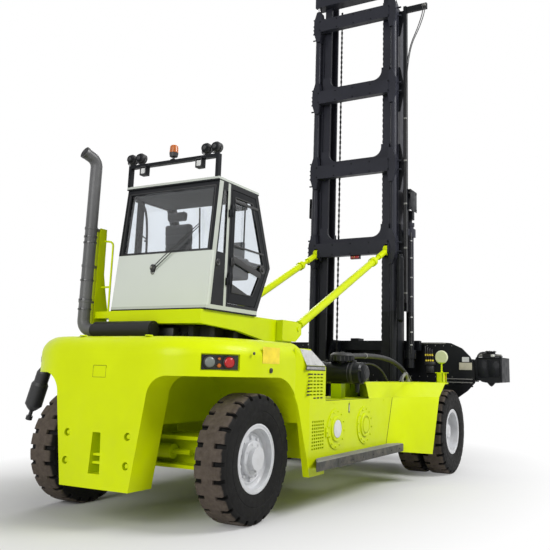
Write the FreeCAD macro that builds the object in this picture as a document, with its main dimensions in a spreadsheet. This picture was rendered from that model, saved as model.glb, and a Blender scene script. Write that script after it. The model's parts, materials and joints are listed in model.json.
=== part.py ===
import FreeCAD, Part
import math
import os
import re
import Sketcher
from FreeCAD import Placement, Rotation, Vector

# Empty container handler: a four-stage tree of bodies on a rigid chassis.
# Vehicle frame while building: X forward from the steering axle, Y to the left, Z up from the ground.
# Every finished piece is then placed by (origin_x, origin_y) so that the part's origin is the
# bottom centre of its bounding box.

doc = FreeCAD.newDocument("EmptyContainerHandler")
sheet = doc.addObject("Spreadsheet::Sheet", "Sizes")

SIZES = [
    # wheels and axles
    ("wheel_dia", 1300, "outer diameter of all tyres"),
    ("tyre_width", 360, "section width of a tyre"),
    ("rim_seat_r", 318, "radius where tyre meets rim"),
    ("rim_flange_r", 340, "radius of the rim's edge flange"),
    ("rim_width", 300, "width over the rim flanges"),
    ("rim_wall", 20, "thickness of rim barrel and disc"),
    ("disc_inset", 60, "steering rim disc, outboard of the tyre's mid plane"),
    ("drive_disc_inset", 40, "drive rim disc, inboard of the outer tyre's outer face plane"),
    ("twin_gap", 45, "air gap between twin tyres"),
    ("lug_gap", 46, "width of the notches in the tyre shoulders"),
    ("lug_long", 118, "length of the notches across the tread"),
    ("lug_depth", 36, "depth of the notches"),
    ("wheelbase", 4950, "steering axle to drive axle"),
    ("rear_wheel_y", 1123, "mid plane of the steering tyres"),
    ("front_wheel_y", 1684, "mid plane of the outer drive tyres"),
    ("kingpin_y", 880, "kingpin axis"),
    ("kingpin_r", 35, "kingpin radius"),
    ("run_gap", 0.05, "radial running clearance of pins and shafts"),
    ("side_gap", 1, "end clearance of hubs, knuckles and clevises"),
    ("hub_r", 115, "wheel hub radius"),
    ("hub_out", 175, "hub cap end, outboard of the tyre's mid plane"),
    ("spindle_r", 52, "spindle radius"),
    ("steer_plate", 36, "thickness of the steering axle's plates"),
    ("steer_plate_top", 842, "top face of the upper steering axle plate"),
    ("steer_plate_low", 516, "lower face of the lower steering axle plate"),
    ("steer_axle_half", 235, "half length of the steering axle body along X"),
    ("steer_cyl_r", 75, "steering cylinder radius"),
    ("steer_rod_r", 28, "steering rod radius"),
    ("drive_axle_r", 130, "half height of the drive axle housing"),
    ("brake_r", 270, "brake drum radius"),
    # chassis
    ("rail_y", 560, "outer face of the frame rails"),
    ("rail_wall", 110, "width of a frame rail"),
    ("saddle_half", 380, "half width of the frame over the steering axle"),
    ("engine_front", 2690, "front face of the engine block"),
    ("frame_top", 1150, "top face of the frame rails"),
    ("frame_low", 560, "lower face of the frame rails"),
    ("rear_face_x", -960, "rear face of the counterweight"),
    ("cw_low", 360, "lower edge of the counterweight"),
    ("cw_foot_half", 450, "half width of the counterweight's leg at its foot"),
    ("cw_hip_half", 590, "half width of the counterweight's leg under the arches"),
    ("cw_hip_z", 1230, "height where the leg starts to spread into the arches"),
    ("cw_curve_x", -60, "where the rounded rear corners meet the flanks"),
    ("cw_curve_y", 600, "half width of the flat rear face"),
    ("cw_roll", 190, "radius of the deck's rolled edge"),
    ("body_front", 720, "front face of the rear body"),
    ("cw_leg_front", -620, "front face of the counterweight's lower leg"),
    ("deck_z", 1850, "top of the rear deck"),
    ("flank_y", 1390, "outer face of the rear body's flanks"),
    ("arch_top", 1465, "top of the wheel arch"),
    ("arch_half", 900, "half length of the wheel arch"),
    ("arch_corner_x", 532, "front upper corner of the wheel arch before rounding"),
    ("arch_round", 490, "radius of the wheel arch's front upper corner"),
    ("arch_foot_x", 830, "front edge of the wheel arch at the post's foot"),
    ("flank_wall", 80, "thickness of the flank posts"),
    ("post_front", 1190, "front edge of the flank post at its foot"),
    ("post_low", 385, "foot of the flank post"),
    ("box_y", 1450, "outer face of the side boxes"),
    ("box_inner_y", 700, "inner face of the side boxes"),
    ("box_rear", 960, "rear face of the side boxes"),
    ("fender_long", 1620, "drive axle to the seam between side box and fender"),
    ("box_top", 1200, "top of the side boxes"),
    ("box_low", 560, "underside of the side boxes"),
    ("step_out", 170, "reach of the side step beyond the side box"),
    ("step_thick", 100, "depth of the side step"),
    ("step_low", 470, "underside of the side step"),
    ("fender_y", 1880, "outer edge of the flared front fender"),
    ("fender_clear", 750, "drive axle to the front edge of the flared fender face"),
    ("fender_low", 380, "lower front corner of the fender face"),
    ("fender_top", 1410, "upper inner edge of the fender's sloped top"),
    ("fender_lap", 230, "reach of the fender's top plate beyond the drive axle"),
    ("plate", 12, "sheet thickness of covers"),
    ("platform_top", 2170, "top face of the cab platform"),
    ("platform_thick", 150, "depth of the cab platform"),
    ("platform_half", 690, "half width of the cab platform"),
    ("platform_rear", -240, "rear edge of the cab platform"),
    ("platform_front", 1750, "front end of the platform beams"),
    # cab
    ("cab_half", 680, "half width of the cab"),
    ("cab_rear", -190, "rear wall at the floor"),
    ("cab_rear_top", -40, "rear wall at the roof"),
    ("cab_floor", 2180, "underside of the cab floor"),
    ("cab_sill", 2830, "lower edge of the rear window"),
    ("cab_roof_z", 3690, "top of the cab roof"),
    ("cab_nose_x", 1100, "foremost point of the cab's side profile"),
    ("cab_nose_z", 2790, "height of the foremost point"),
    ("cab_toe_x", 830, "front wall at the floor"),
    ("cab_brow_x", 760, "front wall at the roof"),
    ("cab_wall", 40, "thickness of cab panels and posts"),
    ("glass_thick", 8, "glass thickness"),
    ("door_post_x", 150, "hinge edge of the cab door"),
    ("door_gap", 8, "gap round the cab door"),
    ("lamp_bar_z", 3960, "top of the lamp bar"),
    # exhaust and fittings
    ("exhaust_r", 70, "radius of the exhaust stack"),
    ("muffler_r", 95, "radius of the exhaust's lower run"),
    ("exhaust_x", -320, "exhaust stack axis"),
    ("exhaust_y", 965, "exhaust stack axis"),
    ("exhaust_top", 3930, "height where the outlet bend starts"),
    ("stand_x", -230, "rear face of the exhaust stand"),
    ("stand_top", 3168, "top of the exhaust stand"),
    # mast
    ("mast_set", 170, "rear face of the outer mast rails ahead of the drive axle"),
    ("mast_foot", 430, "lower end of the mast rails"),
    ("tilt_set", 170, "mast pivot ahead of the rails' rear face"),
    ("tilt_z", 600, "mast pivot height"),
    ("tilt_pin_r", 45, "mast pivot pin radius"),
    ("rail_out_y", 840, "outer face of the outer mast rails"),
    ("rail_flange", 140, "flange width of a mast rail"),
    ("rail_depth", 320, "depth of a mast rail along X"),
    ("rail_web", 36, "web thickness of a mast rail"),
    ("rail_rim", 40, "flange thickness of a mast rail"),
    ("roller_gap", 0.3, "radial clearance of the rollers in their channels"),
    ("stage_gap", 10, "clearance between the mast stages"),
    ("outer_top", 8330, "top of the outer mast"),
    ("inner_top", 8880, "top of the inner mast"),
    ("inner_low", 640, "lower end of the inner mast"),
    ("beam_high", 250, "height of the mast cross beams"),
    ("beam_thick", 120, "depth of the mast cross beams"),
    ("beam_first", 3600, "underside of the lowest rear cross beam"),
    ("beam_pitch", 1495, "pitch of the rear cross beams"),
    ("beam_half", 720, "half length of the rear cross beams"),
    ("lift_cyl_r", 58, "main lift cylinder tube radius"),
    ("lift_rod_r", 40, "main lift rod radius"),
    ("lift_cyl_y", 790, "main lift cylinder axis"),
    ("lift_low", 940, "foot of the main lift cylinders"),
    ("free_cyl_r", 68, "free-lift cylinder tube radius"),
    ("free_rod_r", 40, "free-lift rod radius"),
    ("free_cyl_y", 955, "free-lift cylinder axis"),
    ("free_cyl_set", 310, "free-lift cylinder axis ahead of the rails' rear face"),
    ("free_low", 1640, "foot of the free-lift cylinders"),
    ("free_top", 4210, "top of the free-lift cylinder tubes"),
    ("sheave_r", 150, "chain sheave radius"),
    ("sheave_rise", 430, "sheave axis above the tube's top"),
    # tilt cylinders
    ("tilt_cyl_y", 690, "tilt cylinder plane"),
    ("tilt_rear_x", 1752, "tilt cylinder pin on the chassis"),
    ("tilt_rear_z", 2080, "tilt cylinder pin on the chassis"),
    ("tilt_front_set", 159, "tilt cylinder pin behind the rails' rear face"),
    ("tilt_front_z", 3655, "tilt cylinder pin on the mast"),
    ("tilt_tube_r", 58, "tilt cylinder tube radius"),
    ("tilt_rod_r", 34, "tilt cylinder rod radius"),
    ("tilt_sleeve_r", 50, "radius of the thick end of the tilt cylinder's rod"),
    ("tilt_rod_show", 622, "rod showing ahead of the tube, to the mast pin"),
    ("eye_r", 85, "radius of the cylinder eyes"),
    ("eye_half", 35, "half width of the cylinder eyes"),
    ("eye_pin_r", 30, "cylinder pin radius"),
    # carriage and spreader
    ("carriage_set", 200, "rear face of the carriage plates ahead of the rails' front face"),
    ("carriage_thick", 110, "depth of the carriage's bars"),
    ("carriage_half", 760, "half width of the carriage"),
    ("carriage_top", 2120, "top of the carriage"),
    ("carriage_low", 700, "lower end of the carriage"),
    ("side_shift", 600, "spreader offset to the left as it stands"),
    ("spread_gap", 150, "air between the carriage and the spreader's back plate"),
    ("spread_depth", 420, "depth of the main beam"),
    ("spread_half", 2560, "half length of the main beam"),
    ("spread_top", 2100, "top of the spreader's main beam"),
    ("spread_low", 1330, "lower face of the main beam"),
    ("arm_reach", 3030, "outer face of the lock heads from the spreader's centre"),
    ("arm_gap", 8, "clearance of the telescoping arms"),
    ("arm_high", 330, "height of a telescoping arm"),
    ("arm_low", 1450, "lower face of a telescoping arm"),
]
for row, (alias, number, note) in enumerate(SIZES, start=1):
    sheet.set("A%d" % row, alias)
    sheet.set("B%d" % row, str(number))
    sheet.set("C%d" % row, note)
    sheet.setAlias("B%d" % row, alias)
doc.recompute()
ALIASES = {alias for alias, number, note in SIZES}


class Values:
    """Numbers of the sheet by their alias, for shapes that are worked out in code."""

    def __getattr__(self, alias):
        if alias in SUMS:
            return sum(-getattr(self, term[1:]) if term[0] == "-" else getattr(self, term) for term in SUMS[alias])
        return float(sheet.get(alias))


D = Values()
WORD = re.compile(r"[A-Za-z_][A-Za-z_0-9]*")
# places along the vehicle that are sums of the sizes above
SUMS = {
    "box_front": ("wheelbase", "-fender_long"),
    "fender_front": ("wheelbase", "-fender_clear"),
    "fender_tip": ("wheelbase", "fender_lap"),
    "mast_x": ("wheelbase", "mast_set"),
    "tilt_x": ("mast_x", "tilt_set"),
    "free_cyl_x": ("mast_x", "free_cyl_set"),
    "tilt_front_x": ("mast_x", "-tilt_front_set"),
    "carriage_x": ("mast_x", "rail_depth", "carriage_set"),
    "spread_x": ("carriage_x", "carriage_thick", "spread_gap"),
}


def bound(text):
    """Turn a formula of aliases into a sheet expression."""
    def swap(hit):
        word = hit.group(0)
        if word in SUMS:
            return "(" + bound("+".join(SUMS[word]).replace("+-", "-")) + ")"
        return "Sizes." + word if word in ALIASES else word
    return WORD.sub(swap, str(text))


def prop(obj, name, text):
    obj.setExpression(name, bound(text))


def base(obj, x, y, z):
    prop(obj, "Placement.Base.x", x)
    prop(obj, "Placement.Base.y", y)
    prop(obj, "Placement.Base.z", z)


def box(name, x, y, z):
    """Box between the pairs of formulas x, y and z."""
    obj = doc.addObject("Part::Box", name)
    prop(obj, "Length", "(%s)-(%s)" % (x[1], x[0]))
    prop(obj, "Width", "(%s)-(%s)" % (y[1], y[0]))
    prop(obj, "Height", "(%s)-(%s)" % (z[1], z[0]))
    base(obj, x[0], y[0], z[0])
    return obj


TURN = {
    "x": Rotation(Vector(0, 1, 0), 90),
    "y": Rotation(Vector(1, 0, 0), -90),
    "z": Rotation(),
}


def cyl(name, axis, at, radius, length):
    """Cylinder from the point at, along +axis."""
    obj = doc.addObject("Part::Cylinder", name)
    prop(obj, "Radius", radius)
    prop(obj, "Height", length)
    obj.Placement = Placement(Vector(), TURN[axis])
    base(obj, *at)
    return obj


def cone(name, axis, at, radius1, radius2, length):
    obj = doc.addObject("Part::Cone", name)
    prop(obj, "Radius1", radius1)
    prop(obj, "Radius2", radius2)
    prop(obj, "Height", length)
    obj.Placement = Placement(Vector(), TURN[axis])
    base(obj, *at)
    return obj


FACE = {
    "XY": Rotation(),
    "XZ": Rotation(Vector(1, 0, 0), 90),
    "YZ": Rotation(Vector(1, 1, 1), 120),
}


def outline(name, face, points, offset="0"):
    """Closed sketch of straight lines whose corners are bound to the sheet."""
    sk = doc.addObject("Sketcher::SketchObject", name)
    sk.Placement = Placement(Vector(), FACE[face])
    count = len(points)
    for i in range(count):
        here = Vector(10.0 * math.cos(2 * math.pi * i / count), 10.0 * math.sin(2 * math.pi * i / count), 0)
        j = (i + 1) % count
        there = Vector(10.0 * math.cos(2 * math.pi * j / count), 10.0 * math.sin(2 * math.pi * j / count), 0)
        sk.addGeometry(Part.LineSegment(here, there), False)
    for i in range(count):
        sk.addConstraint(Sketcher.Constraint("Coincident", i, 2, (i + 1) % count, 1))
    for i, (u, v) in enumerate(points):
        index = sk.addConstraint(Sketcher.Constraint("DistanceX", -1, 1, i, 1, 1.0))
        prop(sk, "Constraints[%d]" % index, u)
        index = sk.addConstraint(Sketcher.Constraint("DistanceY", -1, 1, i, 1, 1.0))
        prop(sk, "Constraints[%d]" % index, v)
    shift = {"XY": "z", "XZ": "y", "YZ": "x"}[face]
    prop(sk, "Placement.Base." + shift, offset)
    return sk


def prism(name, face, points, span):
    """Polygon drawn on a face and extruded across the pair of formulas span."""
    start = span[1] if face == "XZ" else span[0]
    sk = outline(name + "_sketch", face, points, start)
    obj = doc.addObject("Part::Extrusion", name)
    obj.Base = sk
    obj.DirMode = "Normal"
    obj.Solid = True
    prop(obj, "LengthFwd", "(%s)-(%s)" % (span[1], span[0]))
    return obj


def turned(name, points, at, axis="y"):
    """Solid of revolution: points are (distance along the axis, radius)."""
    sk = outline(name + "_sketch", "XY", points)
    obj = doc.addObject("Part::Revolution", name)
    obj.Source = sk
    obj.Axis = Vector(1, 0, 0)
    obj.Base = Vector(0, 0, 0)
    obj.Angle = 360.0
    obj.Solid = True
    lay = {"x": Rotation(), "y": Rotation(Vector(0, 0, 1), 90), "z": Rotation(Vector(0, 1, 0), -90)}
    obj.Placement = Placement(Vector(), lay[axis])
    base(obj, *at)
    return obj


def fuse(name, shapes):
    obj = doc.addObject("Part::MultiFuse", name)
    obj.Shapes = shapes
    return obj


def cut(name, whole, tools):
    obj = doc.addObject("Part::Cut", name)
    obj.Base = whole
    obj.Tool = tools[0] if len(tools) == 1 else fuse(name + "_tools", tools)
    return obj


def mirror(name, source):
    """Copy on the other side of the vehicle's centre plane."""
    obj = doc.addObject("Part::Mirroring", name)
    obj.Source = source
    obj.Normal = Vector(0, 1, 0)
    obj.Base = Vector(0, 0, 0)
    return obj


def both(name, source):
    return fuse(name, [source, mirror(name + "_other", source)])


def made(name, shape):
    """Document object that holds a shape worked out in code."""
    obj = doc.addObject("Part::Feature", name)
    obj.Shape = shape
    return obj


LAY = {
    "XY": lambda u, v, w: Vector(u, v, w),
    "XZ": lambda u, v, w: Vector(u, w, v),
    "YZ": lambda u, v, w: Vector(w, u, v),
}


def rounded_shape(face, corners, span):
    """Prism across span whose outline has round corners: corners are (u, v, radius)."""
    lay = LAY[face]
    count = len(corners)
    edges = []
    ends = []
    for k, (u, v, radius) in enumerate(corners):
        here = Vector(u, v, 0)
        if not radius:
            ends.append((here, None, here))
            continue
        before = (Vector(corners[k - 1][0], corners[k - 1][1], 0) - here).normalize()
        after = (Vector(corners[(k + 1) % count][0], corners[(k + 1) % count][1], 0) - here).normalize()
        half = before.getAngle(after) / 2
        reach = radius / math.tan(half)
        middle = here + (before + after).normalize() * (radius / math.sin(half) - radius)
        ends.append((here + before * reach, middle, here + after * reach))
    for k, (start, middle, end) in enumerate(ends):
        if middle is not None:
            edges.append(Part.Arc(*[lay(p.x, p.y, span[0]) for p in (start, middle, end)]).toShape())
        following = ends[(k + 1) % count][0]
        if (following - end).Length > 1e-6:
            edges.append(Part.LineSegment(lay(end.x, end.y, span[0]), lay(following.x, following.y, span[0])).toShape())
    drawn = Part.Face(Part.Wire(Part.sortEdges(edges)[0]))
    return drawn.extrude(lay(0, 0, span[1]) - lay(0, 0, span[0]))


def rounded(name, face, corners, span):
    return made(name, rounded_shape(face, corners, span))


NODES = []
FRONT_END = "(spread_x+spread_depth+160)"
ORIGIN_X = "-(%s+rear_face_x)/2" % FRONT_END
ORIGIN_Y = "-side_shift"


def node(label, source):
    """Finished piece: named, cleaned of seams and placed in the part's frame."""
    obj = doc.addObject("Part::Refine", label)
    obj.Source = source
    obj.Label = label
    prop(obj, "Placement.Base.x", ORIGIN_X)
    prop(obj, "Placement.Base.y", ORIGIN_Y)
    NODES.append(obj)
    return obj


def pair(label, source):
    """The same piece on the right (as drawn, negative Y) and mirrored on the left."""
    node(label + "_right", source)
    node(label + "_left", mirror(label + "_left_raw", source))


# ---------------------------------------------------------------- wheels
HALF_TYRE = "tyre_width/2"
HALF_RIM = "rim_width/2"


def tyre(name, x, y, facets, notched):
    """Many-sided tyre standing on a flat facet, with a notch in each facet's two shoulders."""
    half = D.tyre_width / 2
    seat = D.rim_width / 2
    edge = D.wheel_dia / 2
    # each ring is (distance from the mid plane, radius to the middle of its facets)
    profile = [
        (-seat, D.rim_seat_r + 0.3), (-seat, D.rim_flange_r + 2), (-half, D.rim_flange_r + 90), (-half, edge - 75), (-half + 35, edge),
        (half - 35, edge), (half, edge - 75), (half, D.rim_flange_r + 90), (seat, D.rim_flange_r + 2),
        (seat, D.rim_seat_r + 0.3),
    ]
    step = 2 * math.pi / facets
    stretch = 1 / math.cos(step / 2)
    centre = Vector(x, y, edge)

    def corner(k, along, radius):
        angle = (k + 0.5) * step - math.pi / 2
        reach = radius * stretch
        return centre + Vector(reach * math.cos(angle), along, reach * math.sin(angle))

    faces = []
    for k in range(facets):
        for j, here in enumerate(profile):
            there = profile[(j + 1) % len(profile)]
            loop = [corner(k, *here), corner(k, *there), corner(k + 1, *there), corner(k + 1, *here)]
            faces.append(Part.Face(Part.makePolygon(loop + loop[:1])))
    whole = Part.Solid(Part.Shell(faces))
    if whole.Volume < 0:
        whole.reverse()
    if notched:
        notches = []
        for k in range(facets):
            for side in (-1, 1):
                block = Part.makeBox(D.lug_gap, D.lug_long + 20, 2 * D.lug_depth)
                block.translate(Vector(-D.lug_gap / 2, -D.lug_long - 20, edge - D.lug_depth))
                if side > 0:
                    block.rotate(Vector(), Vector(0, 0, 1), 180)
                block.translate(Vector(0, side * (half + 20 - D.lug_long - 20), 0))
                block.rotate(Vector(), Vector(0, 1, 0), math.degrees(k * step))
                block.translate(centre)
                notches.append(block)
        whole = whole.cut(Part.makeCompound(notches))
    return made(name, whole)


def rim(name, y, disc):
    """Rim of a wheel on the right: barrel with flanges and a disc whose outer face is at disc."""
    barrel = [
        ("-%s-4" % HALF_RIM, "rim_seat_r-rim_wall"), ("-%s-4" % HALF_RIM, "rim_flange_r"),
        ("-" + HALF_RIM, "rim_flange_r"), ("-" + HALF_RIM, "rim_seat_r"),
        (HALF_RIM, "rim_seat_r"), (HALF_RIM, "rim_flange_r"),
        (HALF_RIM + "+4", "rim_flange_r"), (HALF_RIM + "+4", "rim_seat_r-rim_wall"),
    ]
    ring = turned(name + "_barrel", barrel, ("0", y, "wheel_dia/2"))
    plate = cyl(name + "_disc", "y", ("0", disc, "wheel_dia/2"), "rim_seat_r-rim_wall/2", "rim_wall")
    return fuse(name, [ring, plate])


rear_y = "-rear_wheel_y"
pair("rear_tyre", tyre("rear_tyre", 0, -D.rear_wheel_y, 24, True))
rear_disc = "(-rear_wheel_y-disc_inset)"
hub = cyl("rear_hub_solid", "y", ("0", "-rear_wheel_y-hub_out", "wheel_dia/2"), "hub_r", "hub_out+20")
spindle_bore = cyl("rear_hub_bore", "y", ("0", "-rear_wheel_y-hub_out+60", "wheel_dia/2"),
                   "spindle_r+run_gap", "hub_out+20")
rear_rim = cut("rear_rim_raw", fuse("rear_rim_whole", [rim("rear_rim_body", rear_y, rear_disc), hub]), [spindle_bore])
pair("rear_rim", rear_rim)


twin_y = "(-front_wheel_y+tyre_width+twin_gap)"
pair("front_outer_tyre", tyre("outer_tyre", D.wheelbase, -D.front_wheel_y, 24, True))
pair("front_inner_tyre", tyre("inner_tyre", D.wheelbase, -D.front_wheel_y + D.tyre_width + D.twin_gap, 16, False))
drive_disc = "(-front_wheel_y-tyre_width/2+drive_disc_inset+150)"
front_rim = rim("front_rim_body", "-front_wheel_y", drive_disc)
inner_rim = rim("front_inner_rim_body", twin_y, "(%s+tyre_width/2-60)" % twin_y)
for source in (doc.getObject("front_rim_body_barrel"), doc.getObject("front_rim_body_disc"),
               doc.getObject("front_inner_rim_body_barrel"), doc.getObject("front_inner_rim_body_disc")):
    prop(source, "Placement.Base.x", "wheelbase")
spacer = cut("front_rim_spacer", cyl("front_rim_spacer_out", "y", ("wheelbase", drive_disc, "wheel_dia/2"), "200",
                                     "%s+tyre_width/2-60-%s" % (twin_y, drive_disc)),
             [cyl("front_rim_spacer_in", "y", ("wheelbase", drive_disc + "-1", "wheel_dia/2"), "180",
                  "%s+tyre_width/2-58-%s" % (twin_y, drive_disc))])
front_hub = cyl("front_hub_solid", "y", ("wheelbase", drive_disc + "-70", "wheel_dia/2"), "hub_r+15",
                "%s+tyre_width/2-40-%s+70" % (twin_y, drive_disc))
front_bore = cyl("front_hub_bore", "y", ("wheelbase", drive_disc + "+40", "wheel_dia/2"), "spindle_r+20+run_gap",
                 "%s+tyre_width/2-%s" % (twin_y, drive_disc))
pair("front_rims", cut("front_rims_raw", fuse("front_rims_whole", [front_rim, inner_rim, spacer, front_hub]),
                       [front_bore]))

# ---------------------------------------------------------------- steering axle
HUB_IN = "(-rear_wheel_y+20)"
AXLE_IN = "(kingpin_y+95)"
plates = []
for tag, z0 in (("top", "steer_plate_top-steer_plate"), ("low", "steer_plate_low")):
    pts = [("-steer_axle_half", "-kingpin_y+180"), ("-90", "-" + AXLE_IN), ("90", "-" + AXLE_IN),
           ("steer_axle_half", "-kingpin_y+180"), ("steer_axle_half", "kingpin_y-180"), ("90", AXLE_IN),
           ("-90", AXLE_IN), ("-steer_axle_half", "kingpin_y-180")]
    plates.append(prism("steer_plate_" + tag, "XY", pts, (z0, z0 + "+steer_plate")))
web = box("steer_web", ("-60", "160"), ("-kingpin_y+220", "kingpin_y-220"),
          ("steer_plate_low+steer_plate-1", "steer_plate_top-steer_plate+1"))
steer_tube = cyl("steer_cyl", "y", ("-150", "-330", "wheel_dia/2+20"), "steer_cyl_r", "660")
steer_band = box("steer_cyl_foot", ("-170", "-50"), ("-300", "300"), ("wheel_dia/2-40", "wheel_dia/2+80"))
steer_rod = cyl("steer_rod", "y", ("-150", "-560", "wheel_dia/2+20"), "steer_rod_r", "1120")
pivot_boss = box("steer_pivot", ("-150", "150"), ("-120", "120"), ("steer_plate_top-1", "steer_plate_top+120"))
axle = fuse("steer_axle_whole", plates + [web, steer_tube, steer_band, steer_rod, pivot_boss])
pin_holes = []
for side, sign in (("r", "-"), ("l", "")):
    pin_holes.append(cyl("steer_hole_" + side, "z", ("0", sign + "kingpin_y", "steer_plate_low-1"),
                         "kingpin_r+run_gap", "steer_plate_top-steer_plate_low+2"))
node("steer_axle", cut("steer_axle_raw", axle, pin_holes))
post = cyl("knuckle_post", "z", ("0", "-kingpin_y", "steer_plate_low+steer_plate+side_gap"), "75",
           "steer_plate_top-steer_plate_low-2*steer_plate-2*side_gap")
pin = cyl("knuckle_pin", "z", ("0", "-kingpin_y", "steer_plate_low"), "kingpin_r", "steer_plate_top-steer_plate_low")
spindle = cyl("knuckle_spindle", "y", ("0", "-rear_wheel_y-hub_out+70", "wheel_dia/2"), "spindle_r",
              "rear_wheel_y+hub_out-70-kingpin_y+12")
flange = cyl("knuckle_flange", "y", ("0", "%s+side_gap" % HUB_IN, "wheel_dia/2"), "85",
             "rear_wheel_y-side_gap-kingpin_y-10")
pair("knuckle", fuse("knuckle_raw", [post, pin, spindle, flange]))

# ---------------------------------------------------------------- drive axle
axle_tube = box("drive_beam", ("wheelbase-drive_axle_r", "wheelbase+drive_axle_r"), ("-1000", "1000"),
                ("wheel_dia/2-drive_axle_r", "wheel_dia/2+drive_axle_r"))
bowl = turned("drive_bowl", [("-210", "0"), ("-210", "170"), ("-130", "250"), ("130", "250"), ("210", "170"),
                             ("210", "0")], ("wheelbase-60", "0", "wheel_dia/2"), "y")
stub_in = "(%s+tyre_width/2-40)" % twin_y
stub = cyl("drive_stub", "y", ("wheelbase", drive_disc + "+60", "wheel_dia/2"), "spindle_r+20",
           "-950-%s-60" % drive_disc)
drum = cyl("drive_drum", "y", ("wheelbase", "%s+side_gap" % stub_in, "wheel_dia/2"), "brake_r",
           "-930-%s" % stub_in)
node("drive_axle", fuse("drive_axle_raw", [axle_tube, bowl, both("drive_stubs", fuse("drive_end", [stub, drum]))]))

# ---------------------------------------------------------------- frame
side_points = [
    ("arch_half-240", "frame_top-280"), ("box_rear", "frame_low"),
    ("wheelbase-700", "frame_low"), ("wheelbase-320", "wheel_dia/2+drive_axle_r"),
    ("wheelbase+drive_axle_r-20", "wheel_dia/2+drive_axle_r"), ("wheelbase+drive_axle_r-20", "frame_top-150"),
    ("wheelbase-300", "frame_top"), ("arch_half-240", "frame_top"),
]
rail = prism("frame_rail", "XZ", side_points, ("-rail_y", "-rail_y+rail_wall"))
rails = both("frame_rails", rail)
cross = []
for i, where in enumerate(("arch_half-240", "engine_front+10", "wheelbase-900")):
    cross.append(box("frame_cross_%d" % i, (where, where + "+95"), ("-rail_y+1", "rail_y-1"),
                     ("frame_low+200", "frame_top-60")))
saddle = box("frame_saddle", ("cw_leg_front", "arch_half-235"), ("-saddle_half", "saddle_half"),
             ("steer_plate_top+120", "frame_top"))
# ears for the mast pivots stand outside the mast rails
ear_in = "(rail_out_y+side_gap)"
ear = prism("frame_ear", "XZ", [("wheelbase-600", "frame_low+180"), ("wheelbase-330", "wheel_dia/2+drive_axle_r"),
                                ("wheelbase+drive_axle_r+10", "wheel_dia/2+drive_axle_r"),
                                ("wheelbase+drive_axle_r+10", "tilt_z-90"), ("tilt_x+90", "tilt_z-90"),
                                ("tilt_x+90", "tilt_z+90"), ("wheelbase+drive_axle_r+90", "frame_top-260"),
                                ("wheelbase-600", "frame_top-260")],
            ("-%s-60" % ear_in, "-" + ear_in))
ear_link = box("frame_ear_link", ("wheelbase-600", "wheelbase-520"), ("-%s-60" % ear_in, "-rail_y+20"),
               ("frame_low+180", "frame_top-260"))
ear_bore = cyl("frame_ear_bore", "y", ("tilt_x", "-%s-70" % ear_in, "tilt_z"), "tilt_pin_r+run_gap", "90")
ears = both("frame_ears", cut("frame_ear_cut", fuse("frame_ear_whole", [ear, ear_link]), [ear_bore]))
# pedestal beams carry the platform and the tilt cylinder pins
beam_points = [
    ("platform_rear", "platform_top"), ("platform_rear", "platform_top-platform_thick"),
    ("500", "platform_top-platform_thick-40"), ("1110", "deck_z+40"), ("1110", "frame_top-1"),
    ("platform_front-60", "frame_top-1"), ("platform_front-60", "deck_z"), ("platform_front+90", "tilt_rear_z-70"),
    ("platform_front+90", "tilt_rear_z+60"), ("platform_front-60", "platform_top"),
]
beam_out = "(tilt_cyl_y+eye_half+side_gap+20)"
beam = prism("pedestal_beam", "XZ", beam_points, ("-tilt_cyl_y+eye_half+side_gap", "-tilt_cyl_y+eye_half+side_gap+60"))
cheek = prism("pedestal_cheek", "XZ", [("platform_front-400", "deck_z+60"), ("platform_front-60", "deck_z+60"),
                                       ("platform_front+90", "tilt_rear_z-70"), ("platform_front+90", "tilt_rear_z+60"),
                                       ("platform_front-60", "platform_top"), ("platform_front-400", "platform_top")],
              ("-%s" % beam_out, "-%s+20" % beam_out))
cheek_link = box("pedestal_link", ("platform_front-400", "platform_front-150"),
                 ("-%s" % beam_out, "-tilt_cyl_y+eye_half+side_gap+1"), ("deck_z+60", "platform_top"))
rear_pin = cyl("tilt_rear_pin", "y", ("tilt_rear_x", "-%s-12" % beam_out, "tilt_rear_z"), "eye_pin_r",
               "%s-tilt_cyl_y+eye_half+side_gap+50" % beam_out)
beam_foot = box("pedestal_foot", ("1110", "platform_front-60"), ("-tilt_cyl_y+eye_half+side_gap", "-rail_y+rail_wall"),
                ("frame_top-1", "frame_top+40"))
pedestal = both("pedestals", fuse("pedestal_whole", [beam, cheek, cheek_link, rear_pin, beam_foot]))
node("main_frame", fuse("main_frame_raw", [rails, saddle, ears, pedestal] + cross))

# ---------------------------------------------------------------- rear body
def quarter(side):
    """Rounded rear corner in plan: a quarter ellipse from the rear face to the flank."""
    centre = Vector(D.cw_curve_x, side * D.cw_curve_y, 0)
    rear = Vector(D.rear_face_x, side * D.cw_curve_y, 0)
    flank = Vector(D.cw_curve_x, side * D.flank_y, 0)
    if centre.distanceToPoint(rear) >= centre.distanceToPoint(flank):
        return Part.ArcOfEllipse(Part.Ellipse(rear, flank, centre), 0, math.pi / 2).toShape()
    return Part.ArcOfEllipse(Part.Ellipse(flank, rear, centre), 0, math.pi / 2).toShape()


def straight(x0, y0, x1, y1):
    return Part.LineSegment(Vector(x0, y0, 0), Vector(x1, y1, 0)).toShape()


def rear_plan(low, high, front):
    """Upright solid on the plan of the rear body, from low to high."""
    edges = [
        straight(D.rear_face_x, D.cw_curve_y, D.rear_face_x, -D.cw_curve_y), quarter(-1),
        straight(D.cw_curve_x, -D.flank_y, front, -D.flank_y), straight(front, -D.flank_y, front, D.flank_y),
        straight(front, D.flank_y, D.cw_curve_x, D.flank_y), quarter(1),
    ]
    drawn = Part.Face(Part.Wire(Part.sortEdges(edges)[0]))
    drawn.translate(Vector(0, 0, low))
    return drawn.extrude(Vector(0, 0, high - low))


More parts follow.
